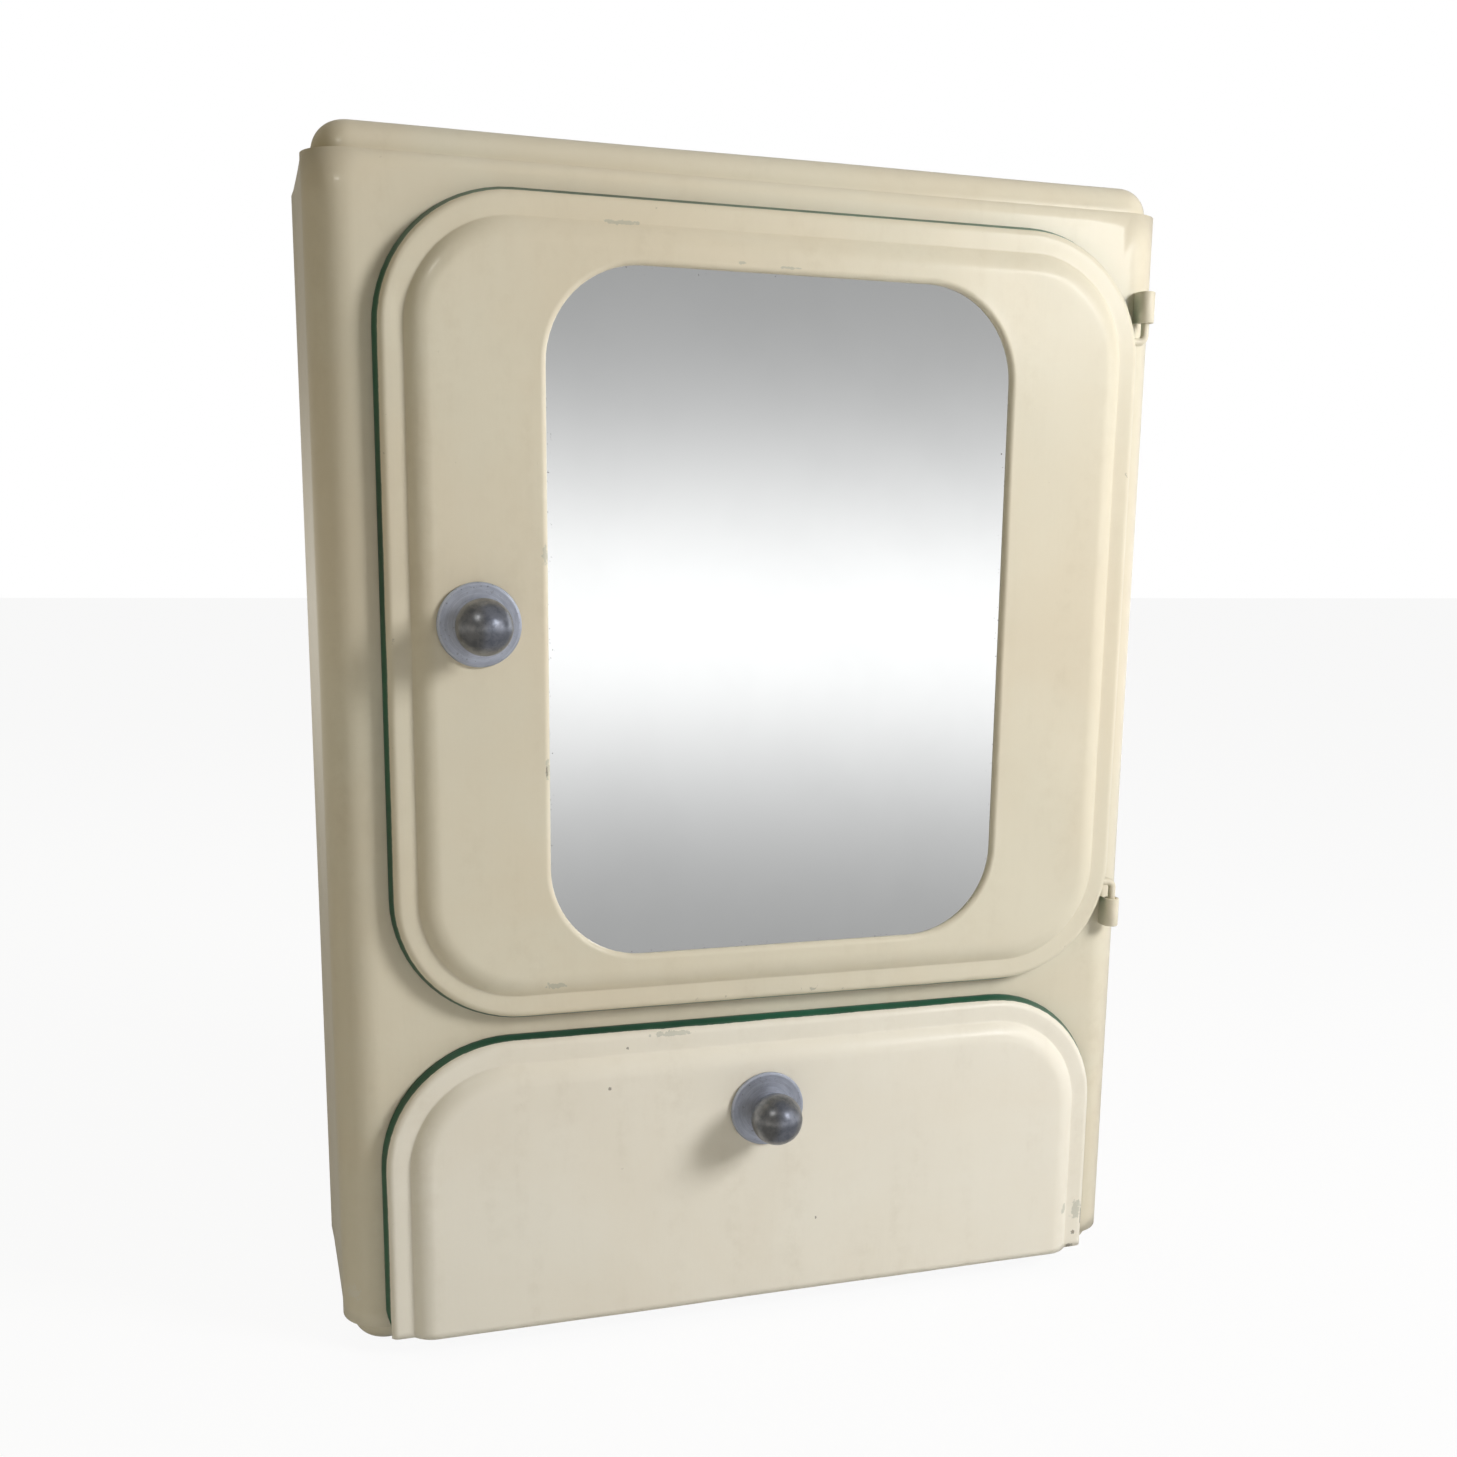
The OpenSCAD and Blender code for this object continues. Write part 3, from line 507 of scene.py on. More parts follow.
def rolled_barrel(name, node, paint):
    """Hinge leaf and barrel from one strip: the strip's middle line runs behind the front panel,
    steps back, turns out through the panel and rolls 302 degrees round the pintle. Both faces lie
    half a thickness off it."""
    low, high = corners(node)
    t, step = LEAF_T, 0.8
    cx, cy = high[0] - BARREL_R, low[1] + BARREL_R
    leaf_y, leaf_x = FRONT + SHEET + t / 2, cx - BARREL_R + t / 2
    bend_x = BODY_W / 2 - CORNER_R
    approach = np.array([[low[0], leaf_y], [bend_x - 1.4, leaf_y],
                         [bend_x + 0.6, leaf_y + step], [leaf_x - 1.0, leaf_y + step]])
    turn = arc(leaf_x - 1.0, leaf_y - 0.2, 1.0, 90, 0, 6)
    roll = arc(cx, cy, BARREL_R - t / 2, 180, 180 + 302, 40)[1:]
    middle = np.vstack([approach, turn, [[leaf_x, cy]], roll])
    across, _ = sideways(middle)
    z0, z1 = low[2], high[2]
    levels = np.array([z0, z0 + 0.12, z0 + 0.35, z1 - 0.35, z1 - 0.12, z1])
    half = np.array([t / 2 - 0.35, t / 2 - 0.12, t / 2, t / 2, t / 2 - 0.12, t / 2 - 0.35])
    loop_side = np.concatenate([half, -half[::-1]])
    loop_z = np.concatenate([levels, levels[::-1]])
    flat = middle[:, None] + across[:, None] * loop_side[None, :, None]
    z = np.broadcast_to(loop_z, flat.shape[:2])
    points = np.stack([flat[..., 0], flat[..., 1], z], axis=-1)
    skin = Skin().grid(points, round_v=True)
    for end in (0, len(middle) - 1):
        skin.add(points[end], [list(range(len(loop_z)))])
    return skin.make(name, "cabinet", [paint], "ivory_enamel", [node], sharp=35)


def bent_pintle(name, node, barrel, up, paint):
    """Bent rod: a circle carried along a line that comes from behind the door's rim, turns a quarter
    circle and rises into the barrel. Its ends are rounded."""
    low, high = corners(node)
    barrel_low, barrel_high = corners(barrel)
    axis_x, axis_y = barrel_high[0] - BARREL_R, barrel_low[1] + BARREL_R
    foot = low[2] + ROD_R if up > 0 else high[2] - ROD_R
    tip = high[2] if up > 0 else low[2]
    start = np.linspace([low[0], foot], [axis_x - ROD_BEND, foot], 6)[:-1]
    t = np.linspace(0, np.pi / 2, 12)
    curve = np.stack([axis_x - ROD_BEND + ROD_BEND * np.sin(t),
                      foot + up * ROD_BEND * (1 - np.cos(t))], axis=1)
    rise = np.linspace(curve[-1], [axis_x, tip], 8)[1:]
    line = np.vstack([start, curve, rise])
    across, along = sideways(line)
    a = np.linspace(0, 2 * np.pi, 24, endpoint=False)
    x = line[:, :1] + across[:, :1] * ROD_R * np.cos(a)
    z = line[:, 1:] + across[:, 1:] * ROD_R * np.cos(a)
    y = np.broadcast_to(axis_y + ROD_R * np.sin(a), x.shape)
    points = np.stack([x, y, z], axis=-1)
    skin = Skin().grid(points, round_v=True)
    for end, way in ((0, -1), (len(line) - 1, 1)):
        middle = points[end].mean(axis=0)
        ahead = np.array([along[end, 0], 0, along[end, 1]]) * way
        width = np.array([0.55, 0.86, 1.0])[:, None, None]
        height = np.array([0.14, 0.048, 0.0])[:, None, None]
        dome = middle + (points[end] - middle)[None] * width + ahead * height
        dome[2] = points[end]
        skin.grid(dome, round_v=True)
        skin.add(dome[0], [list(range(len(a)))])
    pad_low = np.array([low[0], FRONT - STAND + SHEET + 0.02, min(foot - ROD_R, foot + ROD_R)])
    add_pad(skin, pad_low, pad_low + [6, 1.3, 2 * ROD_R])
    return skin.make(name, "door", [paint], "ivory_enamel", [node], sharp=50)


def add_pad(skin, low, high):
    """A small block with chamfered edges: a cube stretched to the two corners and bevelled."""
    shape = bmesh.new()
    bmesh.ops.create_cube(shape, size=1)
    for vert in shape.verts:
        vert.co = [low[i] + (vert.co[i] + 0.5) * (high[i] - low[i]) for i in range(3)]
    bmesh.ops.bevel(shape, geom=shape.edges[:], offset=0.25, segments=2, affect="EDGES")
    points = [v.co[:] for v in shape.verts]
    faces = [[v.index for v in f.verts] for f in shape.faces]
    shape.free()
    skin.add(points, faces)


def glass_plate(name, node, body, paint, slot):
    """A flat plate with rounded corners and ground edges: level rings that draw in by the bevel."""
    low, high = corners(node)
    v_back, v_front, r, bevel = FRONT - high[1], FRONT - low[1], 32.0, 0.5
    outline, out = rounded_outline(high[0] - low[0], high[2] - low[2], r, 12, 2, 2)
    outline = outline + [(low[0] + high[0]) / 2, (low[2] + high[2]) / 2]
    rings = [(bevel, v_back), (0, v_back + bevel), (0, v_front - bevel), (bevel, v_front)]
    loops = []
    for draw_in, v in rings:
        drawn = outline - out * draw_in
        loops.append(on_face(drawn[:, 0], v, drawn[:, 1]))
    loops = np.stack(loops)
    skin = Skin().grid(loops, round_v=True)
    for loop in (loops[0], loops[-1]):
        skin.add(loop, [list(range(len(loop)))])
    return skin.make(name, body, [paint], slot, [node], sharp=20)


# ---------------------------------------------------------------- tools for paints and finishes
def plug(tree, value, socket):
    """Links another node's output to a socket, or sets the socket's own value."""
    if isinstance(value, bpy.types.NodeSocket):
        tree.links.new(value, socket)
    else:
        socket.default_value = value


def put(tree, kind, feeds=None, **settings):
    """Adds a node; feeds maps an input's name or number to a value or to another node's output."""
    node = tree.nodes.new(kind)
    for key, value in settings.items():
        setattr(node, key, value)
    for key, value in (feeds or {}).items():
        plug(tree, value, node.inputs[key])
    return node


def maths(tree, operation, *values):
    return put(tree, "ShaderNodeMath", dict(enumerate(values)), operation=operation).outputs[0]


def vectors(tree, operation, *values):
    node = put(tree, "ShaderNodeVectorMath", dict(enumerate(values)), operation=operation)
    return node.outputs["Value" if operation == "LENGTH" else "Vector"]


def split(tree, value):
    return put(tree, "ShaderNodeSeparateXYZ", {0: value}).outputs


def joined(tree, x, y, z):
    return put(tree, "ShaderNodeCombineXYZ", {0: x, 1: y, 2: z}).outputs[0]


def mapped(tree, place, scale=(1.0, 1.0, 1.0), turn=(0.0, 0.0, 0.0), shift=(0.0, 0.0, 0.0)):
    """The place, stretched, turned or moved, for a pattern to read."""
    feeds = {"Vector": place, "Scale": scale, "Rotation": turn, "Location": shift}
    return put(tree, "ShaderNodeMapping", feeds).outputs[0]


def ramp(tree, value, low, high, to_low=0.0, to_high=1.0):
    """A value carried from one range to another by a smooth step, level outside it."""
    feeds = {0: value, 1: low, 2: high, 3: to_low, 4: to_high}
    return put(tree, "ShaderNodeMapRange", feeds, interpolation_type="SMOOTHSTEP").outputs[0]


def noise(tree, where, scale, detail=3.0, rough=0.55, warp=0.0):
    feeds = {"Vector": where, "Scale": scale, "Detail": detail, "Roughness": rough, "Distortion": warp}
    return put(tree, "ShaderNodeTexNoise", feeds).outputs["Fac"]


def blend_colour(tree, amount, a, b):
    node = put(tree, "ShaderNodeMix", data_type="RGBA")
    sockets = {s.identifier: s for s in node.inputs}
    for key, value in (("Factor_Float", amount), ("A_Color", a), ("B_Color", b)):
        plug(tree, value, sockets[key])
    return {s.identifier: s for s in node.outputs}["Result_Color"]


def tint(tree, amount, share, below, above):
    """`above` laid over `below` where a mask says so, at no more than `share` of its strength."""
    return blend_colour(tree, maths(tree, "MULTIPLY", amount, share), below, above)


def rgb(r, g, b):
    """Everyday colour numbers from 0 to 255 as the renderer's linear ones."""
    c = np.array([r, g, b]) / 255
    c = np.where(c <= 0.04045, c / 12.92, ((c + 0.055) / 1.055) ** 2.4)
    return (*c.tolist(), 1.0)


def group(name, ins, outs):
    """An empty shader group with named inputs and outputs.
    ins holds (name, kind, value), outs (name, kind)."""
    tree = bpy.data.node_groups.new(name, "ShaderNodeTree")
    for label, kind, value in ins:
        socket = tree.interface.new_socket(label, in_out="INPUT", socket_type="NodeSocket" + kind)
        if value is not None:
            socket.default_value = value
    for label, kind in outs:
        tree.interface.new_socket(label, in_out="OUTPUT", socket_type="NodeSocket" + kind)
    come, go = tree.nodes.new("NodeGroupInput"), tree.nodes.new("NodeGroupOutput")
    return tree, come.outputs, go.inputs


def use(tree, shared, feeds):
    return put(tree, "ShaderNodeGroup", feeds, node_tree=shared).outputs


def make_brushed_paint():
    """Unevenness of brush-laid enamel: drawn-out brush marks, orange peel, dust nibs and slow clouds
    of tone."""
    tree, come, go = group(
        "brushed_paint",
        [("Place", "Vector", None), ("Brush Width", "Float", 1.0), ("Peel", "Float", 1.0),
         ("Nibs", "Float", 1.0)],
        [("Height", "Float"), ("Cloud", "Float"), ("Gloss Drift", "Float")],
    )
    place = come["Place"]
    drawn = mapped(tree, place, (1.0, 1.0, 0.07), (0.0, 0.12, 0.0))
    marks = noise(tree, drawn, maths(tree, "DIVIDE", 520.0, come["Brush Width"]), 2.0, 0.6, 0.3)
    peel = noise(tree, place, 420.0, 1.5, 0.5)
    broad = noise(tree, place, 95.0, 2.0, 0.5, 0.4)
    cells = put(tree, "ShaderNodeTexVoronoi", {"Vector": place, "Scale": 62.0, "Randomness": 1.0})
    spread = put(tree, "ShaderNodeSeparateColor", {0: cells.outputs["Color"]}).outputs
    chosen = ramp(tree, spread[0], 0.80, 0.82)
    size = maths(tree, "ADD", maths(tree, "MULTIPLY", spread[1], 0.022), 0.012)
    nib = maths(tree, "MULTIPLY", ramp(tree, cells.outputs["Distance"], size, 0.0), chosen)
    nib = maths(tree, "MULTIPLY", nib, come["Nibs"])
    height = maths(tree, "MULTIPLY", marks, 0.34)
    height = maths(tree, "MULTIPLY_ADD", peel, maths(tree, "MULTIPLY", come["Peel"], 0.30), height)
    height = maths(tree, "MULTIPLY_ADD", broad, 0.75, height)
    plug(tree, maths(tree, "MULTIPLY_ADD", nib, 0.9, height), go["Height"])
    plug(tree, ramp(tree, noise(tree, place, 9.0, 4.0, 0.55, 0.5), 0.3, 0.7), go["Cloud"])
    slow = noise(tree, place, 34.0, 4.0, 0.6)
    drift = maths(tree, "MULTIPLY_ADD", slow, 0.7, maths(tree, "MULTIPLY", marks, 0.3))
    plug(tree, drift, go["Gloss Drift"])
    return tree


def make_chips():
    """Places where paint has flaked: ragged patches where noise passes a level that Wear lowers, with
    a thin lip round them."""
    tree, come, go = group(
        "paint_chips",
        [("Place", "Vector", None), ("Wear", "Float", 0.0), ("Size", "Float", 1.0)],
        [("Bare", "Float"), ("Lip", "Float")],
    )
    scale = maths(tree, "DIVIDE", 260.0, come["Size"])
    coarse = noise(tree, come["Place"], scale, 5.0, 0.62, 0.6)
    spread = noise(tree, come["Place"], maths(tree, "MULTIPLY", scale, 0.21), 2.0, 0.5)
    level = maths(tree, "MULTIPLY_ADD", spread, 0.45, coarse)
    limit = maths(tree, "SUBTRACT", 1.08, maths(tree, "MULTIPLY", come["Wear"], 0.42))
    above = maths(tree, "SUBTRACT", level, limit)
    plug(tree, ramp(tree, above, 0.0, 0.02), go["Bare"])
    lip = maths(tree, "MULTIPLY", ramp(tree, above, -0.035, 0.0), ramp(tree, above, 0.05, 0.012))
    plug(tree, lip, go["Lip"])
    return tree


def make_scar():
    """One worn spot: an ellipse about Centre with half sizes Reach, its outline made ragged by
    noise."""
    tree, come, go = group(
        "worn_spot",
        [("Place", "Vector", None), ("Centre", "Vector", None), ("Reach", "Vector", None),
         ("Ragged", "Float", 0.5), ("Grain", "Float", 700.0)],
        [("Mask", "Float")],
    )
    away = vectors(tree, "SUBTRACT", come["Place"], come["Centre"])
    length = vectors(tree, "LENGTH", vectors(tree, "DIVIDE", away, come["Reach"]))
    rough = maths(tree, "SUBTRACT", noise(tree, come["Place"], come["Grain"], 4.0, 0.65), 0.5)
    ragged = maths(tree, "MULTIPLY", come["Ragged"], 3.2)
    value = maths(tree, "MULTIPLY_ADD", rough, ragged, length)
    plug(tree, ramp(tree, value, 1.08, 0.92), go["Mask"])
    return tree


def make_boundary():
    """Hand-painted border between two paints: Fold beyond Start, moved by slow and quick
    unsteadiness of the brush."""
    tree, come, go = group(
        "hand_border",
        [("Place", "Vector", None), ("Fold", "Float", 0.0), ("Start", "Float", 1.0),
         ("Unsteady", "Float", 0.6)],
        [("Mask", "Float")],
    )
    moved = come["Fold"]
    for scale, detail, rough, reach in ((48.0, 2.0, 0.5, 3.4), (420.0, 3.0, 0.6, 1.3)):
        sway = maths(tree, "SUBTRACT", noise(tree, come["Place"], scale, detail, rough), 0.5)
        amount = maths(tree, "MULTIPLY", come["Unsteady"], reach)
        moved = maths(tree, "MULTIPLY_ADD", sway, amount, moved)
    gap = maths(tree, "SUBTRACT", moved, come["Start"])
    plug(tree, ramp(tree, gap, -0.10, 0.10), go["Mask"])
    return tree


def make_grime():
    """Brown-grey film where hands and damp leave it: fine mottling and runs drawn out downwards."""
    tree, come, go = group(
        "bathroom_grime",
        [("Place", "Vector", None), ("Amount", "Float", 0.3)],
        [("Mask", "Float")],
    )
    drawn = noise(tree, mapped(tree, come["Place"], (1.0, 1.0, 0.16)), 60.0, 4.0, 0.6, 0.4)
    mottle = noise(tree, come["Place"], 150.0, 5.0, 0.65)
    both = maths(tree, "MULTIPLY", ramp(tree, drawn, 0.42, 0.72), ramp(tree, mottle, 0.35, 0.7))
    plug(tree, maths(tree, "MULTIPLY", both, come["Amount"]), go["Mask"])
    return tree


def make_lathe_marks():
    """Fine rings left by turning: noise read along the distance from an axis, and a slower sweep of
    tone that runs round it."""
    tree, come, go = group(
        "lathe_marks",
        [("Place", "Vector", None), ("Axis Place", "Vector", None), ("Fineness", "Float", 1.0)],
        [("Rings", "Float"), ("Sweep", "Float")],
    )
    ring_scale, sweep_scale = 3200.0, 240.0
    away = split(tree, vectors(tree, "SUBTRACT", come["Place"], come["Axis Place"]))
    radius = vectors(tree, "LENGTH", joined(tree, away[0], 0.0, away[2]))
    along = joined(tree, maths(tree, "MULTIPLY", radius, ring_scale),
                   maths(tree, "MULTIPLY", away[1], ring_scale), 0.0)
    plug(tree, noise(tree, along, come["Fineness"], 2.0, 0.7), go["Rings"])
    angle = maths(tree, "ARCTAN2", away[2], away[0])
    around = joined(tree, maths(tree, "MULTIPLY", radius, sweep_scale),
                    maths(tree, "SINE", angle), maths(tree, "COSINE", angle))
    plug(tree, noise(tree, around, 2.2, 3.0, 0.6), go["Sweep"])
    return tree


BRUSHED = make_brushed_paint()
CHIPS = make_chips()
SCAR = make_scar()
BORDER = make_boundary()
GRIME = make_grime()
LATHE = make_lathe_marks()

IVORY = rgb(224, 218, 196)
IVORY_WARM = rgb(222, 212, 187)
# painted light: the same ivory made paler for the flap, standing in for the brighter light that falls on
# it
FLAP_IVORY_PAINTED_LIT = rgb(240, 236, 221)
FLAP_IVORY_WARM_PAINTED_LIT = rgb(237, 231, 214)
GREEN = rgb(4, 92, 66)
GREEN_DARK = rgb(2, 66, 48)
BARE = rgb(170, 174, 160)
RUBBED = rgb(226, 224, 212)


def finish_start(name):
    """A new material: the material, its tree, its shader and the Object place."""
    material = bpy.data.materials.new(name)
    material.use_nodes = True
    tree = material.node_tree
    place = tree.nodes.new("ShaderNodeTexCoord").outputs["Object"]
    return material, tree, tree.nodes["Principled BSDF"], place


def dress(tree, shader, colour, rough, metal=0.0):
    for label, value in (("Base Color", colour), ("Roughness", rough), ("Metallic", metal)):
        plug(tree, value, shader.inputs[label])


def emboss(tree, shader, height, strength, depth):
    """Relief of the given depth in millimetres."""
    feeds = {"Height": height, "Strength": strength, "Distance": depth * MM}
    plug(tree, put(tree, "ShaderNodeBump", feeds).outputs[0], shader.inputs["Normal"])


def scars(tree, place, spots, grain, ragged):
    """The largest of several worn spots, each (x, y, z, half width, half height) in millimetres."""
    depth, mask = 12, None
    for x, y, z, rx, rz in spots:
        feeds = {"Place": place, "Centre": (x * MM, y * MM, z * MM),
                 "Reach": (rx * MM, depth * MM, rz * MM), "Ragged": ragged, "Grain": grain}
        spot = use(tree, SCAR, feeds)["Mask"]
        mask = spot if mask is None else maths(tree, "MAXIMUM", mask, spot)
    return mask


def enamel(name, light=IVORY, warm=IVORY_WARM, two_tone=False, pale_spots=(), dark_spots=(),
           wear=0.06, grime=0.10, rough=0.34, chip_tone=BARE):
    """Brush-laid enamel on steel, ivory or green, or ivory with the earlier green left on turned
    edges."""
    border, edge_middle = 4.0, 0.8
    material, tree, shader, place = finish_start(name)
    coat = use(tree, BRUSHED, {"Place": place, "Brush Width": 1.0, "Peel": 1.0, "Nibs": 1.0})
    colour = blend_colour(tree, coat["Cloud"], light, warm)
    dirt = use(tree, GRIME, {"Place": place, "Amount": grime})["Mask"]
    colour = blend_colour(tree, dirt, colour, rgb(168, 152, 118))
    gloss = maths(tree, "MULTIPLY_ADD", coat["Gloss Drift"], 0.16, rough - 0.08)
    worn = wear
    if two_tone:
        fold = put(tree, "ShaderNodeAttribute", attribute_name="fold").outputs["Fac"]
        feeds = {"Place": place, "Fold": fold, "Start": border, "Unsteady": 0.5}
        old_tone = blend_colour(tree, coat["Cloud"], GREEN, GREEN_DARK)
        colour = blend_colour(tree, use(tree, BORDER, feeds)["Mask"], colour, old_tone)
        from_edge = maths(tree, "ABSOLUTE", maths(tree, "SUBTRACT", fold, edge_middle))
        worn = maths(tree, "MULTIPLY_ADD", ramp(tree, from_edge, 3.0, 0.4), 0.22, wear)
    chip = use(tree, CHIPS, {"Place": place, "Wear": worn, "Size": 1.0})
    bare = chip["Bare"]
    if pale_spots:
        bare = maths(tree, "MAXIMUM", bare, scars(tree, place, pale_spots, 520.0, 0.95))
    colour = tint(tree, chip["Lip"], 0.35, colour, rgb(120, 108, 82))
    colour = tint(tree, bare, 0.5, colour, chip_tone)
    if dark_spots:
        dark = scars(tree, place, dark_spots, 1500.0, 0.8)
        colour = tint(tree, dark, 0.62, colour, rgb(84, 72, 52))
    dress(tree, shader, colour, maths(tree, "MULTIPLY_ADD", bare, 0.22, gloss))
    height = maths(tree, "SUBTRACT", coat["Height"], maths(tree, "MULTIPLY", bare, 0.55))
    emboss(tree, shader, height, 0.32, 0.16)
    shader.inputs["Coat Weight"].default_value = 0.25
    shader.inputs["Coat Roughness"].default_value = 0.14
    return material


def satin_ball(name, x, z):
    """Cast and polished alloy gone dull: dark mottled grey, fine pits and soft scratches."""
    material, tree, shader, place = finish_start(name)
    feeds = {"Place": place, "Axis Place": (x * MM, 0.0, z * MM), "Fineness": 0.9}
    turned = use(tree, LATHE, feeds)
    mottle = noise(tree, place, 260.0, 5.0, 0.65, 0.4)
    pits = ramp(tree, noise(tree, place, 1900.0, 2.0, 0.5), 0.64, 0.72)
    clouds = ramp(tree, mottle, 0.32, 0.68)
    tone = blend_colour(tree, clouds, rgb(152, 155, 165), rgb(126, 130, 140))
    tone = tint(tree, pits, 0.35, tone, rgb(70, 69, 72))
    dress(tree, shader, tone, maths(tree, "MULTIPLY_ADD", mottle, 0.12, 0.28), 1.0)
    height = maths(tree, "MULTIPLY_ADD", turned["Rings"], 0.35, maths(tree, "MULTIPLY", pits, -0.8))
    emboss(tree, shader, maths(tree, "MULTIPLY_ADD", mottle, 0.5, height), 0.20, 0.10)
    return material


def spun_disc(name, x, z):
    """Spun alloy disc with fine turning rings and a cool sheen."""
    material, tree, shader, place = finish_start(name)
    feeds = {"Place": place, "Axis Place": (x * MM, 0.0, z * MM), "Fineness": 1.0}
    turned = use(tree, LATHE, feeds)
    rings, sweep = turned["Rings"], ramp(tree, turned["Sweep"], 0.30, 0.75)
    spots = ramp(tree, noise(tree, place, 900.0, 3.0, 0.6), 0.62, 0.74)
    tone = blend_colour(tree, ramp(tree, rings, 0.3, 0.7), rgb(208, 213, 226), rgb(188, 194, 209))
    tone = tint(tree, sweep, 0.35, tone, rgb(134, 139, 155))
    tone = tint(tree, spots, 0.5, tone, rgb(92, 92, 98))
    dress(tree, shader, tone, maths(tree, "MULTIPLY_ADD", rings, 0.2, 0.36), 0.82)
    height = maths(tree, "MULTIPLY_ADD", rings, 1.0, maths(tree, "MULTIPLY", spots, -0.5))
    emboss(tree, shader, height, 0.16, 0.08)
    return material


def silvered(name):
    """Old mirror: bright silver with a faint veil and small black flecks that gather at its border."""
    material, tree, shader, place = finish_start(name)
    away = split(tree, mapped(tree, place, shift=(-DOOR_X * MM, 0.0, -DOOR_Z * MM)))
    side, rise = (
        maths(tree, "SUBTRACT", maths(tree, "ABSOLUTE", away[axis]), size / 2 * MM)
        for axis, size in ((0, MIRROR_W), (2, MIRROR_H)))
    border = ramp(tree, maths(tree, "MAXIMUM", side, rise), -0.006, 0.0)
    limit = maths(tree, "MULTIPLY_ADD", border, -0.16, 0.80)
    fleck = maths(tree, "SUBTRACT", noise(tree, place, 900.0, 4.0, 0.7), limit)
    spots = ramp(tree, fleck, 0.0, 0.03)
    veil = ramp(tree, noise(tree, place, 18.0, 3.0, 0.6), 0.35, 0.75)
    tone = blend_colour(tree, veil, (0.93, 0.94, 0.94, 1), (0.90, 0.91, 0.91, 1))
    tone = blend_colour(tree, spots, tone, (0.10, 0.09, 0.08, 1))
    haze = maths(tree, "MULTIPLY_ADD", veil, 0.012, 0.018)
    dress(tree, shader, tone, maths(tree, "MULTIPLY_ADD", spots, 0.4, haze), 1.0)
    return material


def plated_steel(name):
    """Zinc-plated spring steel: cool grey with spangle, drawn scratches and a little rust."""
    material, tree, shader, place = finish_start(name)
    cells = put(tree, "ShaderNodeTexVoronoi", {"Vector": place, "Scale": 420.0}).outputs["Color"]
    spangle = put(tree, "ShaderNodeSeparateColor", {0: cells}).outputs[0]
    tone = blend_colour(tree, spangle, rgb(176, 178, 180), rgb(150, 153, 158))
    drawn = noise(tree, mapped(tree, place, (1.0, 1.0, 0.05)), 1800.0, 2.0, 0.5)
    scratch = ramp(tree, drawn, 0.60, 0.68)
    rust = ramp(tree, noise(tree, place, 210.0, 5.0, 0.68), 0.60, 0.72)
    tone = tint(tree, rust, 0.7, tone, rgb(120, 78, 46))
    rough = maths(tree, "MULTIPLY_ADD", rust, 0.4, maths(tree, "MULTIPLY_ADD", scratch, 0.12, 0.30))
    metal = maths(tree, "SUBTRACT", 0.92, maths(tree, "MULTIPLY", rust, 0.8))
    dress(tree, shader, tone, rough, metal)
    emboss(tree, shader, maths(tree, "ADD", scratch, rust), 0.3, 0.08)
    return material


def pressed_board(name):
    """Brown backing board: felted fibres and a few darker blots."""
    material, tree, shader, place = finish_start(name)
    fibre = noise(tree, mapped(tree, place, (1.0, 1.0, 0.3)), 900.0, 5.0, 0.7)
    blot = ramp(tree, noise(tree, place, 30.0, 3.0, 0.5), 0.4, 0.7, 0.0, 0.4)
    tone = blend_colour(tree, fibre, rgb(98, 72, 46), rgb(146, 112, 74))
    tone = blend_colour(tree, blot, tone, rgb(80, 58, 38))
    dress(tree, shader, tone, maths(tree, "MULTIPLY_ADD", fibre, 0.2, 0.66))
    emboss(tree, shader, fibre, 0.5, 0.2)
    return material


def soft_rubber(name):
    """Black rubber dulled by dust."""
    material, tree, shader, place = finish_start(name)
    bloom = noise(tree, place, 300.0, 4.0, 0.6)
    tone = blend_colour(tree, ramp(tree, bloom, 0.4, 0.7), rgb(30, 30, 30), rgb(62, 60, 57))
    dress(tree, shader, tone, maths(tree, "MULTIPLY_ADD", bloom, 0.25, 0.55))
    emboss(tree, shader, bloom, 0.3, 0.1)
    return material


def back_paint(name):
    """Thin ivory sprayed on the back: bare streaks, scuffs and rust that bleeds from the four screw
    holes."""
    material, tree, shader, place = finish_start(name)
    coat = use(tree, BRUSHED, {"Place": place, "Brush Width": 1.6, "Peel": 1.0, "Nibs": 0.4})
    colour = blend_colour(tree, coat["Cloud"], rgb(206, 198, 176), rgb(188, 180, 158))
    scuff = noise(tree, mapped(tree, place, (1.0, 1.0, 0.3), (0.0, 0.9, 0.0)), 70.0, 5.0, 0.7)
    colour = tint(tree, ramp(tree, scuff, 0.56, 0.70), 0.30, colour, rgb(152, 150, 142))
    where = split(tree, place)
    away_x, away_z = (
        maths(tree, "SUBTRACT", maths(tree, "ABSOLUTE", where[axis]), screw * MM)
        for axis, screw in ((0, SCREW_X), (2, SCREW_Z)))
    reach = vectors(tree, "LENGTH", joined(tree, away_x, 0.0, away_z))
    ragged = maths(tree, "MULTIPLY_ADD", noise(tree, place, 320.0, 4.0, 0.6), 0.008, reach)
    rust = ramp(tree, ragged, 0.0125, 0.0065)
    colour = tint(tree, rust, 0.85, colour, rgb(112, 66, 36))
    dirt = use(tree, GRIME, {"Place": place, "Amount": 0.28})["Mask"]
    colour = blend_colour(tree, dirt, colour, rgb(120, 108, 84))
    dress(tree, shader, colour, maths(tree, "MULTIPLY_ADD", rust, 0.3, 0.48))
    emboss(tree, shader, maths(tree, "ADD", coat["Height"], rust), 0.4, 0.2)
    return material


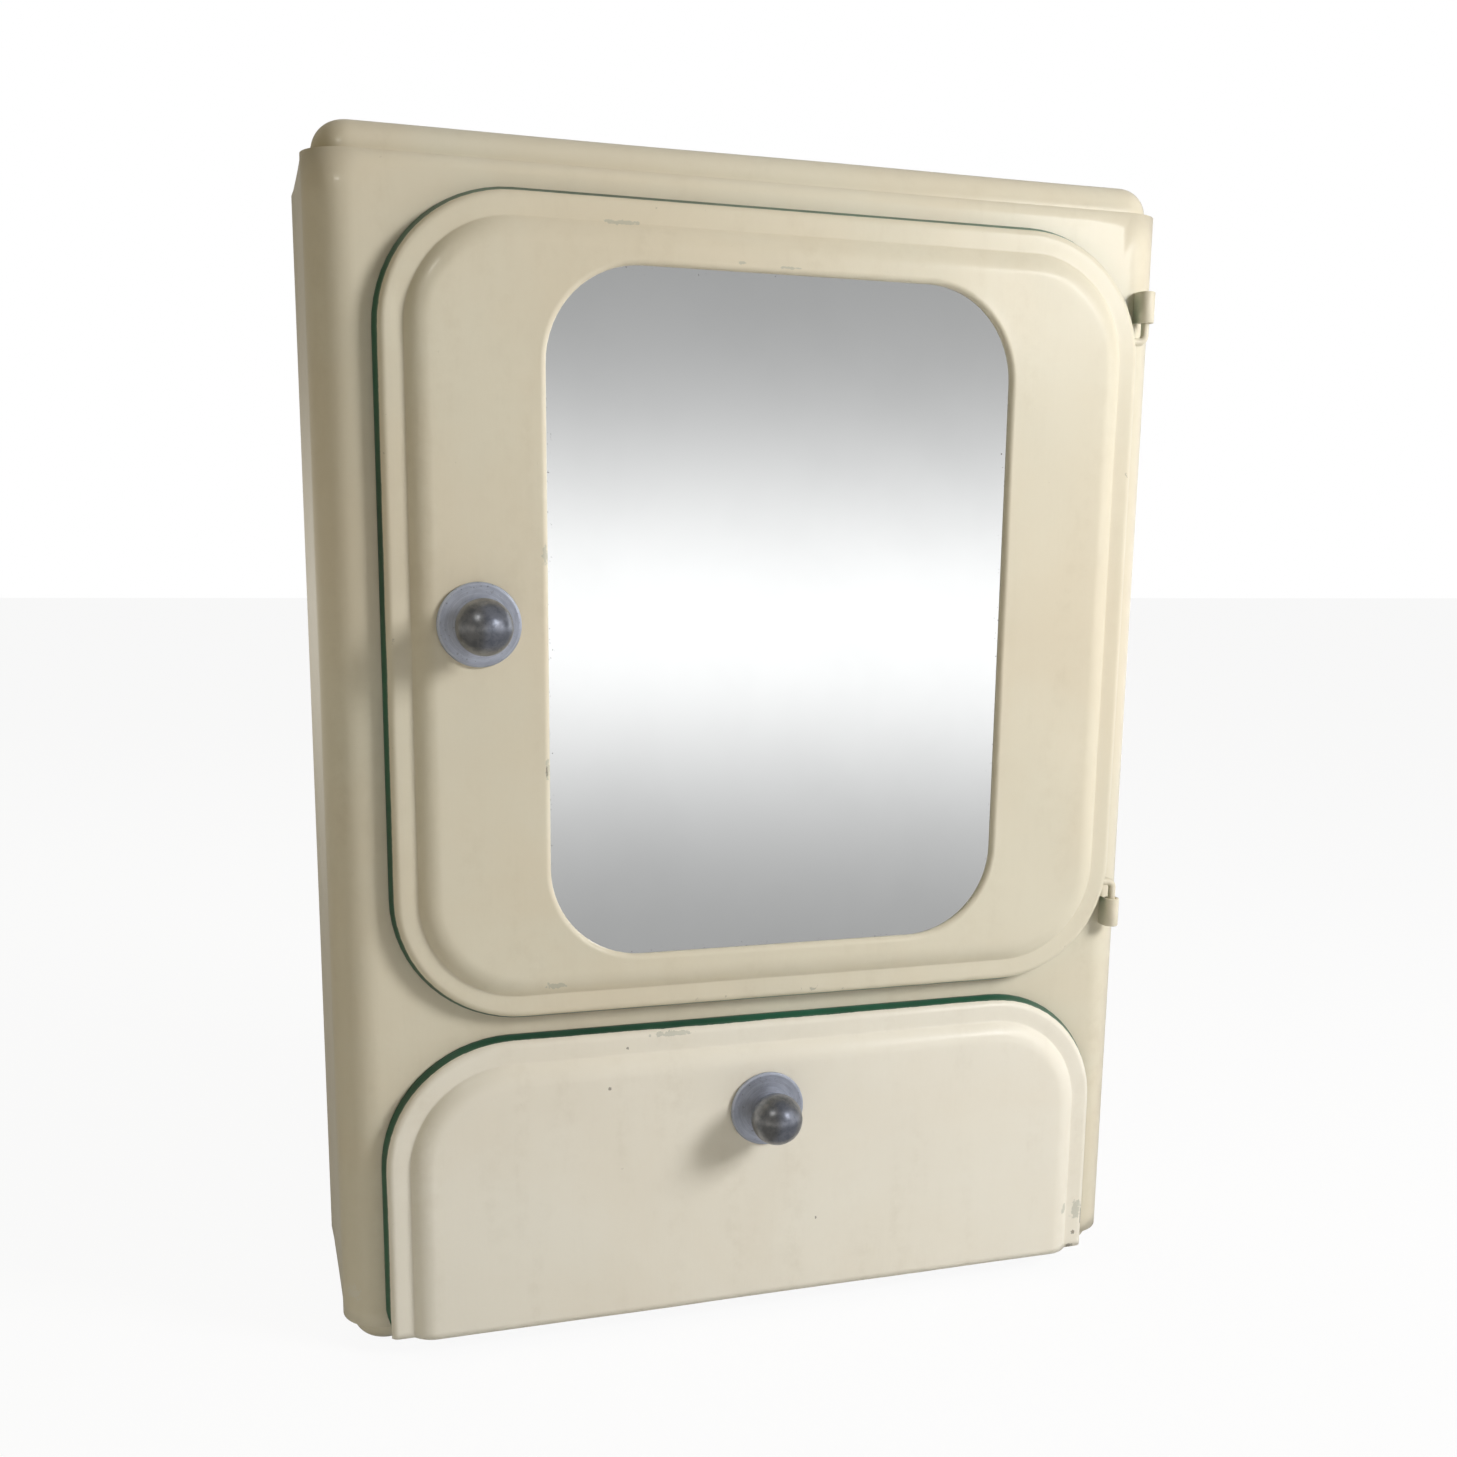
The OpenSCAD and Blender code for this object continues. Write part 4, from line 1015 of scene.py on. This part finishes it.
# ---------------------------------------------------------------- the finishes of this cabinet
# worn spots: middle x, y and z, half width, half height
RIM_Y = FRONT - STAND
FIELD_Y = FRONT - FACE
DOOR_PALE = [(-91.8, RIM_Y, -87.2, 4.4, 1.3), (-94.8, FIELD_Y, 87.9, 1.0, 4.0),
             (3.8, FIELD_Y, 200.4, 3.5, 0.5), (-16, FIELD_Y, 201.2, 1.6, 0.6),
             (-63.7, RIM_Y, 213.6, 7.0, 0.8), (-94.6, FIELD_Y, 3.0, 0.8, 4.4)]
DOOR_DARK = [(151.3, RIM_Y, 210.7, 0.7, 0.8), (-94.9, FIELD_Y, 2.6, 0.35, 2.2)]
FLAP_PALE = [(-41, RIM_Y, -113.2, 8.5, 1.0), (157.8, RIM_Y, -218.5, 2.6, 4.4),
             (150, FIELD_Y, -216, 1.4, 2.2)]
FLAP_DARK = [(-60.9, FIELD_Y, -118.0, 0.6, 0.6), (-69.7, FIELD_Y, -133.5, 0.7, 0.6),
             (24.1, FIELD_Y, -203.6, 0.4, 0.8), (161.0, RIM_Y, -222.0, 0.5, 4.2),
             (157.0, RIM_Y, -229.7, 0.9, 0.9), (155.0, RIM_Y, -236.2, 1.8, 0.8)]
SHELL_PALE = [(-175.6, FRONT + 10, -219.9, 2.6, 3.0)]

door_paint = enamel("ivory_over_green_door", two_tone=True, pale_spots=DOOR_PALE,
                    dark_spots=DOOR_DARK)
# the flap's paler ivory is painted light: it makes the flap brighter than the door in place of lighting
flap_paint = enamel("ivory_over_green_flap", FLAP_IVORY_PAINTED_LIT, FLAP_IVORY_WARM_PAINTED_LIT, two_tone=True,
                    pale_spots=FLAP_PALE, dark_spots=FLAP_DARK)
shell_paint = enamel("ivory_enamel_shell", pale_spots=SHELL_PALE, chip_tone=RUBBED)
cap_paint = enamel("ivory_enamel_caps")
hinge_paint = enamel("ivory_enamel_hinges", wear=0.3, grime=0.3)
green_paint = enamel("green_enamel_inside", GREEN, GREEN_DARK, wear=0.12, grime=0.06, rough=0.38)

# ---------------------------------------------------------------- the pieces
shell = shell_wrap().make("shell_wrapped_sheet", "cabinet", [shell_paint, green_paint],
                          "ivory_enamel", ["cabinet_shell"], sharp=35, weld=0.02)
door = door_leaf().make("door_pressed_sheet", "door", [door_paint, green_paint],
                        "ivory_enamel", ["door_panel"], sharp=60, weld=0.004)
flap = flap_leaf().make("flap_pressed_sheet", "flap", [flap_paint, green_paint],
                        "ivory_enamel", ["flap_panel"], sharp=60, weld=0.004)
for sheet_piece in (shell, door, flap):
    wall = sheet_piece.modifiers.new("sheet thickness", "SOLIDIFY")
    wall.thickness = SHEET * MM
    wall.offset = -1
    wall.use_even_offset = True
    wall.material_offset = 1
    wall.material_offset_rim = 1

cap("cap_top_pressed", 12.0, TOP, 1, "top_cap", cap_paint)
cap("cap_base_pressed", 10.0, FOOT, -1, "base_cap", cap_paint)

for body in ("door", "flap"):
    low, high = corners(body + "_knob")
    x, z = (low[0] + high[0]) / 2, (low[2] + high[2]) / 2
    knob("knob_ball_" + body, body + "_knob", x, z, body, satin_ball("dulled_alloy_" + body, x, z))
    rosette("knob_disc_" + body, body + "_rosette", x, z, body, spun_disc("spun_alloy_" + body, x, z))

for side, up in (("upper", 1), ("lower", -1)):
    barrel = "hinge_barrel_" + side
    rolled_barrel("hinge_rolled_leaf_" + side, barrel, hinge_paint)
    bent_pintle("hinge_bent_rod_" + side, "hinge_pintle_" + side, barrel, up, hinge_paint)

glass_plate("mirror_silvered_plate", "mirror_glass", "door", silvered("silvered_glass"),
            "mirror_silver")

for paint, nodes in (
    (green_paint, ["divider_shelf", "shelf_lower", "shelf_upper", "shelf_brackets", "bin_tray",
                   "bin_end_left", "bin_end_right"]),
    (back_paint("thin_ivory_back"), ["back_panel"]),
    (plated_steel("zinc_steel_fittings"), [
        "door_catch", "door_strike", "mirror_clips", "pivot_bracket_left", "pivot_bracket_right",
        "pivot_pin_left", "pivot_pin_right", "door_knob_nut", "flap_knob_nut"]),
    (pressed_board("brown_backing_board"), ["mirror_board"]),
    (soft_rubber("black_rubber_buffers"), ["door_buffers", "flap_buffers"]),
):
    for node in nodes:
        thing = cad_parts[node]
        thing.data.materials.clear()
        thing.data.materials.append(paint)

# ---------------------------------------------------------------- floor, light and camera
WHITE = (1, 1, 1, 1)
FLOOR_HALF, FLOOR_DROP = 6.0, 0.0005             # metres
FLOOR_SEEN = 0.93
BAND_LEVEL, BAND_WIDTH, BAND_GAIN, BAND_BASE = -0.064, 0.115, 0.75, 0.36

scene = bpy.context.scene
scene.view_settings.view_transform = "Standard"
scene.view_settings.look = "None"
scene.view_settings.exposure = 0.0
scene.view_settings.gamma = 1.0

level = cad_box[0].z - FLOOR_DROP
signs = ((-1, -1), (1, -1), (1, 1), (-1, 1))
floor_corners = [(x * FLOOR_HALF, y * FLOOR_HALF, level) for x, y in signs]
floor_mesh = bpy.data.meshes.new("studio_floor")
floor_mesh.from_pydata(floor_corners, [], [(0, 1, 2, 3)])
floor = bpy.data.objects.new("studio_floor", floor_mesh)
scene.collection.objects.link(floor)
floor.visible_glossy = False
floor_finish, tree, shader, _ = finish_start("pale_studio_floor")
shader.inputs["Base Color"].default_value = (0.9, 0.9, 0.9, 1)
shader.inputs["Roughness"].default_value = 1.0
seen_by_eye = tree.nodes.new("ShaderNodeLightPath").outputs["Is Camera Ray"]
share = maths(tree, "MULTIPLY", seen_by_eye, FLOOR_SEEN)
lit = put(tree, "ShaderNodeEmission", {0: WHITE, 1: 1.0})
pale = put(tree, "ShaderNodeMixShader", {0: share, 1: shader.outputs[0], 2: lit.outputs[0]})
tree.links.new(pale.outputs[0], tree.nodes["Material Output"].inputs["Surface"])
floor_mesh.materials.append(floor_finish)

# An even warm surround lights the paint. Glossy rays see a white room with a bright level band
# instead: base + gain * e^-((height - level) / width)^2, darker and warmer to the left.
world = bpy.data.worlds.new("studio_surround")
scene.world = world
world.use_nodes = True
sky = world.node_tree
sky.nodes.clear()
ray = split(sky, sky.nodes.new("ShaderNodeTexCoord").outputs["Generated"])
offset = maths(sky, "DIVIDE", maths(sky, "SUBTRACT", ray[2], BAND_LEVEL), BAND_WIDTH)
fall = maths(sky, "MULTIPLY", maths(sky, "MULTIPLY", offset, offset), -1.0)
reflected = maths(sky, "MULTIPLY_ADD", maths(sky, "POWER", 2.718, fall), BAND_GAIN, BAND_BASE)
room_tone = blend_colour(sky, ramp(sky, ray[0], -0.25, 0.14), (0.68, 0.63, 0.52, 1), WHITE)
path = sky.nodes.new("ShaderNodeLightPath").outputs
even, band, plain = (
    put(sky, "ShaderNodeBackground", {0: colour, 1: strength}).outputs[0]
    for colour, strength in (((1.0, 0.90, 0.62, 1), 0.105), (room_tone, reflected), (WHITE, 1.0)))
first = put(sky, "ShaderNodeMixShader", {0: path["Is Glossy Ray"], 1: even, 2: band})
second = put(sky, "ShaderNodeMixShader", {0: path["Is Camera Ray"], 1: first.outputs[0], 2: plain})
put(sky, "ShaderNodeOutputWorld", {0: second.outputs[0]})


def soft_light(name, turn, lift, away, wide, high, power, colour, lights):
    """A studio panel away metres from the cabinet, turn degrees to its right and lift degrees up,
    facing it. lights says whether it shines on paint or glints in gloss."""
    data = bpy.data.lights.new(name, "AREA")
    data.shape, data.size, data.size_y = "RECTANGLE", wide, high
    data.energy, data.color = power, colour
    lamp = bpy.data.objects.new(name, data)
    scene.collection.objects.link(lamp)
    lamp.visible_glossy = lights == "gloss"
    lamp.visible_diffuse = lights == "paint"
    a, e = math.radians(turn), math.radians(lift)
    way = Vector((math.sin(a) * math.cos(e), -math.cos(a) * math.cos(e), math.sin(e)))
    lamp.location = way * away + Vector((0.0, FRONT * MM, 0.0))
    lamp.rotation_euler = way.to_track_quat("Z", "Y").to_euler()


soft_light("key_panel", 51.0, 25.0, 1.35, 0.36, 0.44, 15.8, (0.985, 0.975, 1.0), "paint")
soft_light("low_panel", -30.0, -19.0, 0.58, 0.2, 0.08, 0.10, (1.0, 0.97, 0.93), "paint")
soft_light("left_panel", -88.0, 6.0, 1.3, 0.8, 0.8, 1.5, (1.0, 0.86, 0.62), "paint")
soft_light("top_panel", 10.0, 76.0, 1.3, 0.6, 0.6, 1.6, (1.0, 0.95, 0.88), "paint")
soft_light("rear_panel", 200.0, 42.0, 1.5, 0.8, 0.6, 4.0, (1.0, 0.96, 0.90), "paint")
soft_light("glint_panel", 36.0, 21.0, 1.4, 0.22, 0.34, 2.6, (0.97, 0.98, 1.0), "gloss")
soft_light("side_panel", 62.0, 12.0, 1.4, 0.30, 0.6, 1.2, (1.0, 0.98, 0.96), "gloss")
soft_light("small_glint", -44.0, 40.0, 1.3, 0.16, 0.07, 0.9, (1.0, 0.97, 0.86), "gloss")

eye = bpy.data.cameras.new("front_left_view")
eye.sensor_width, eye.lens = 36.0, 39.63
eye.shift_x, eye.shift_y = -0.0290, 0.0726
eye.clip_start, eye.clip_end = 0.05, 30.0
camera = bpy.data.objects.new("front_left_view", eye)
scene.collection.objects.link(camera)
right = (0.95009, -0.31154, 0.01641)
up = (0.04517, 0.18939, 0.98086)
back = (-0.30869, -0.93117, 0.19401)
stand_point = (-0.2090, -0.7513, 0.1038)
camera.matrix_world = Matrix.Translation(stand_point) @ Matrix((right, up, back)).transposed().to_4x4()
scene.camera = camera
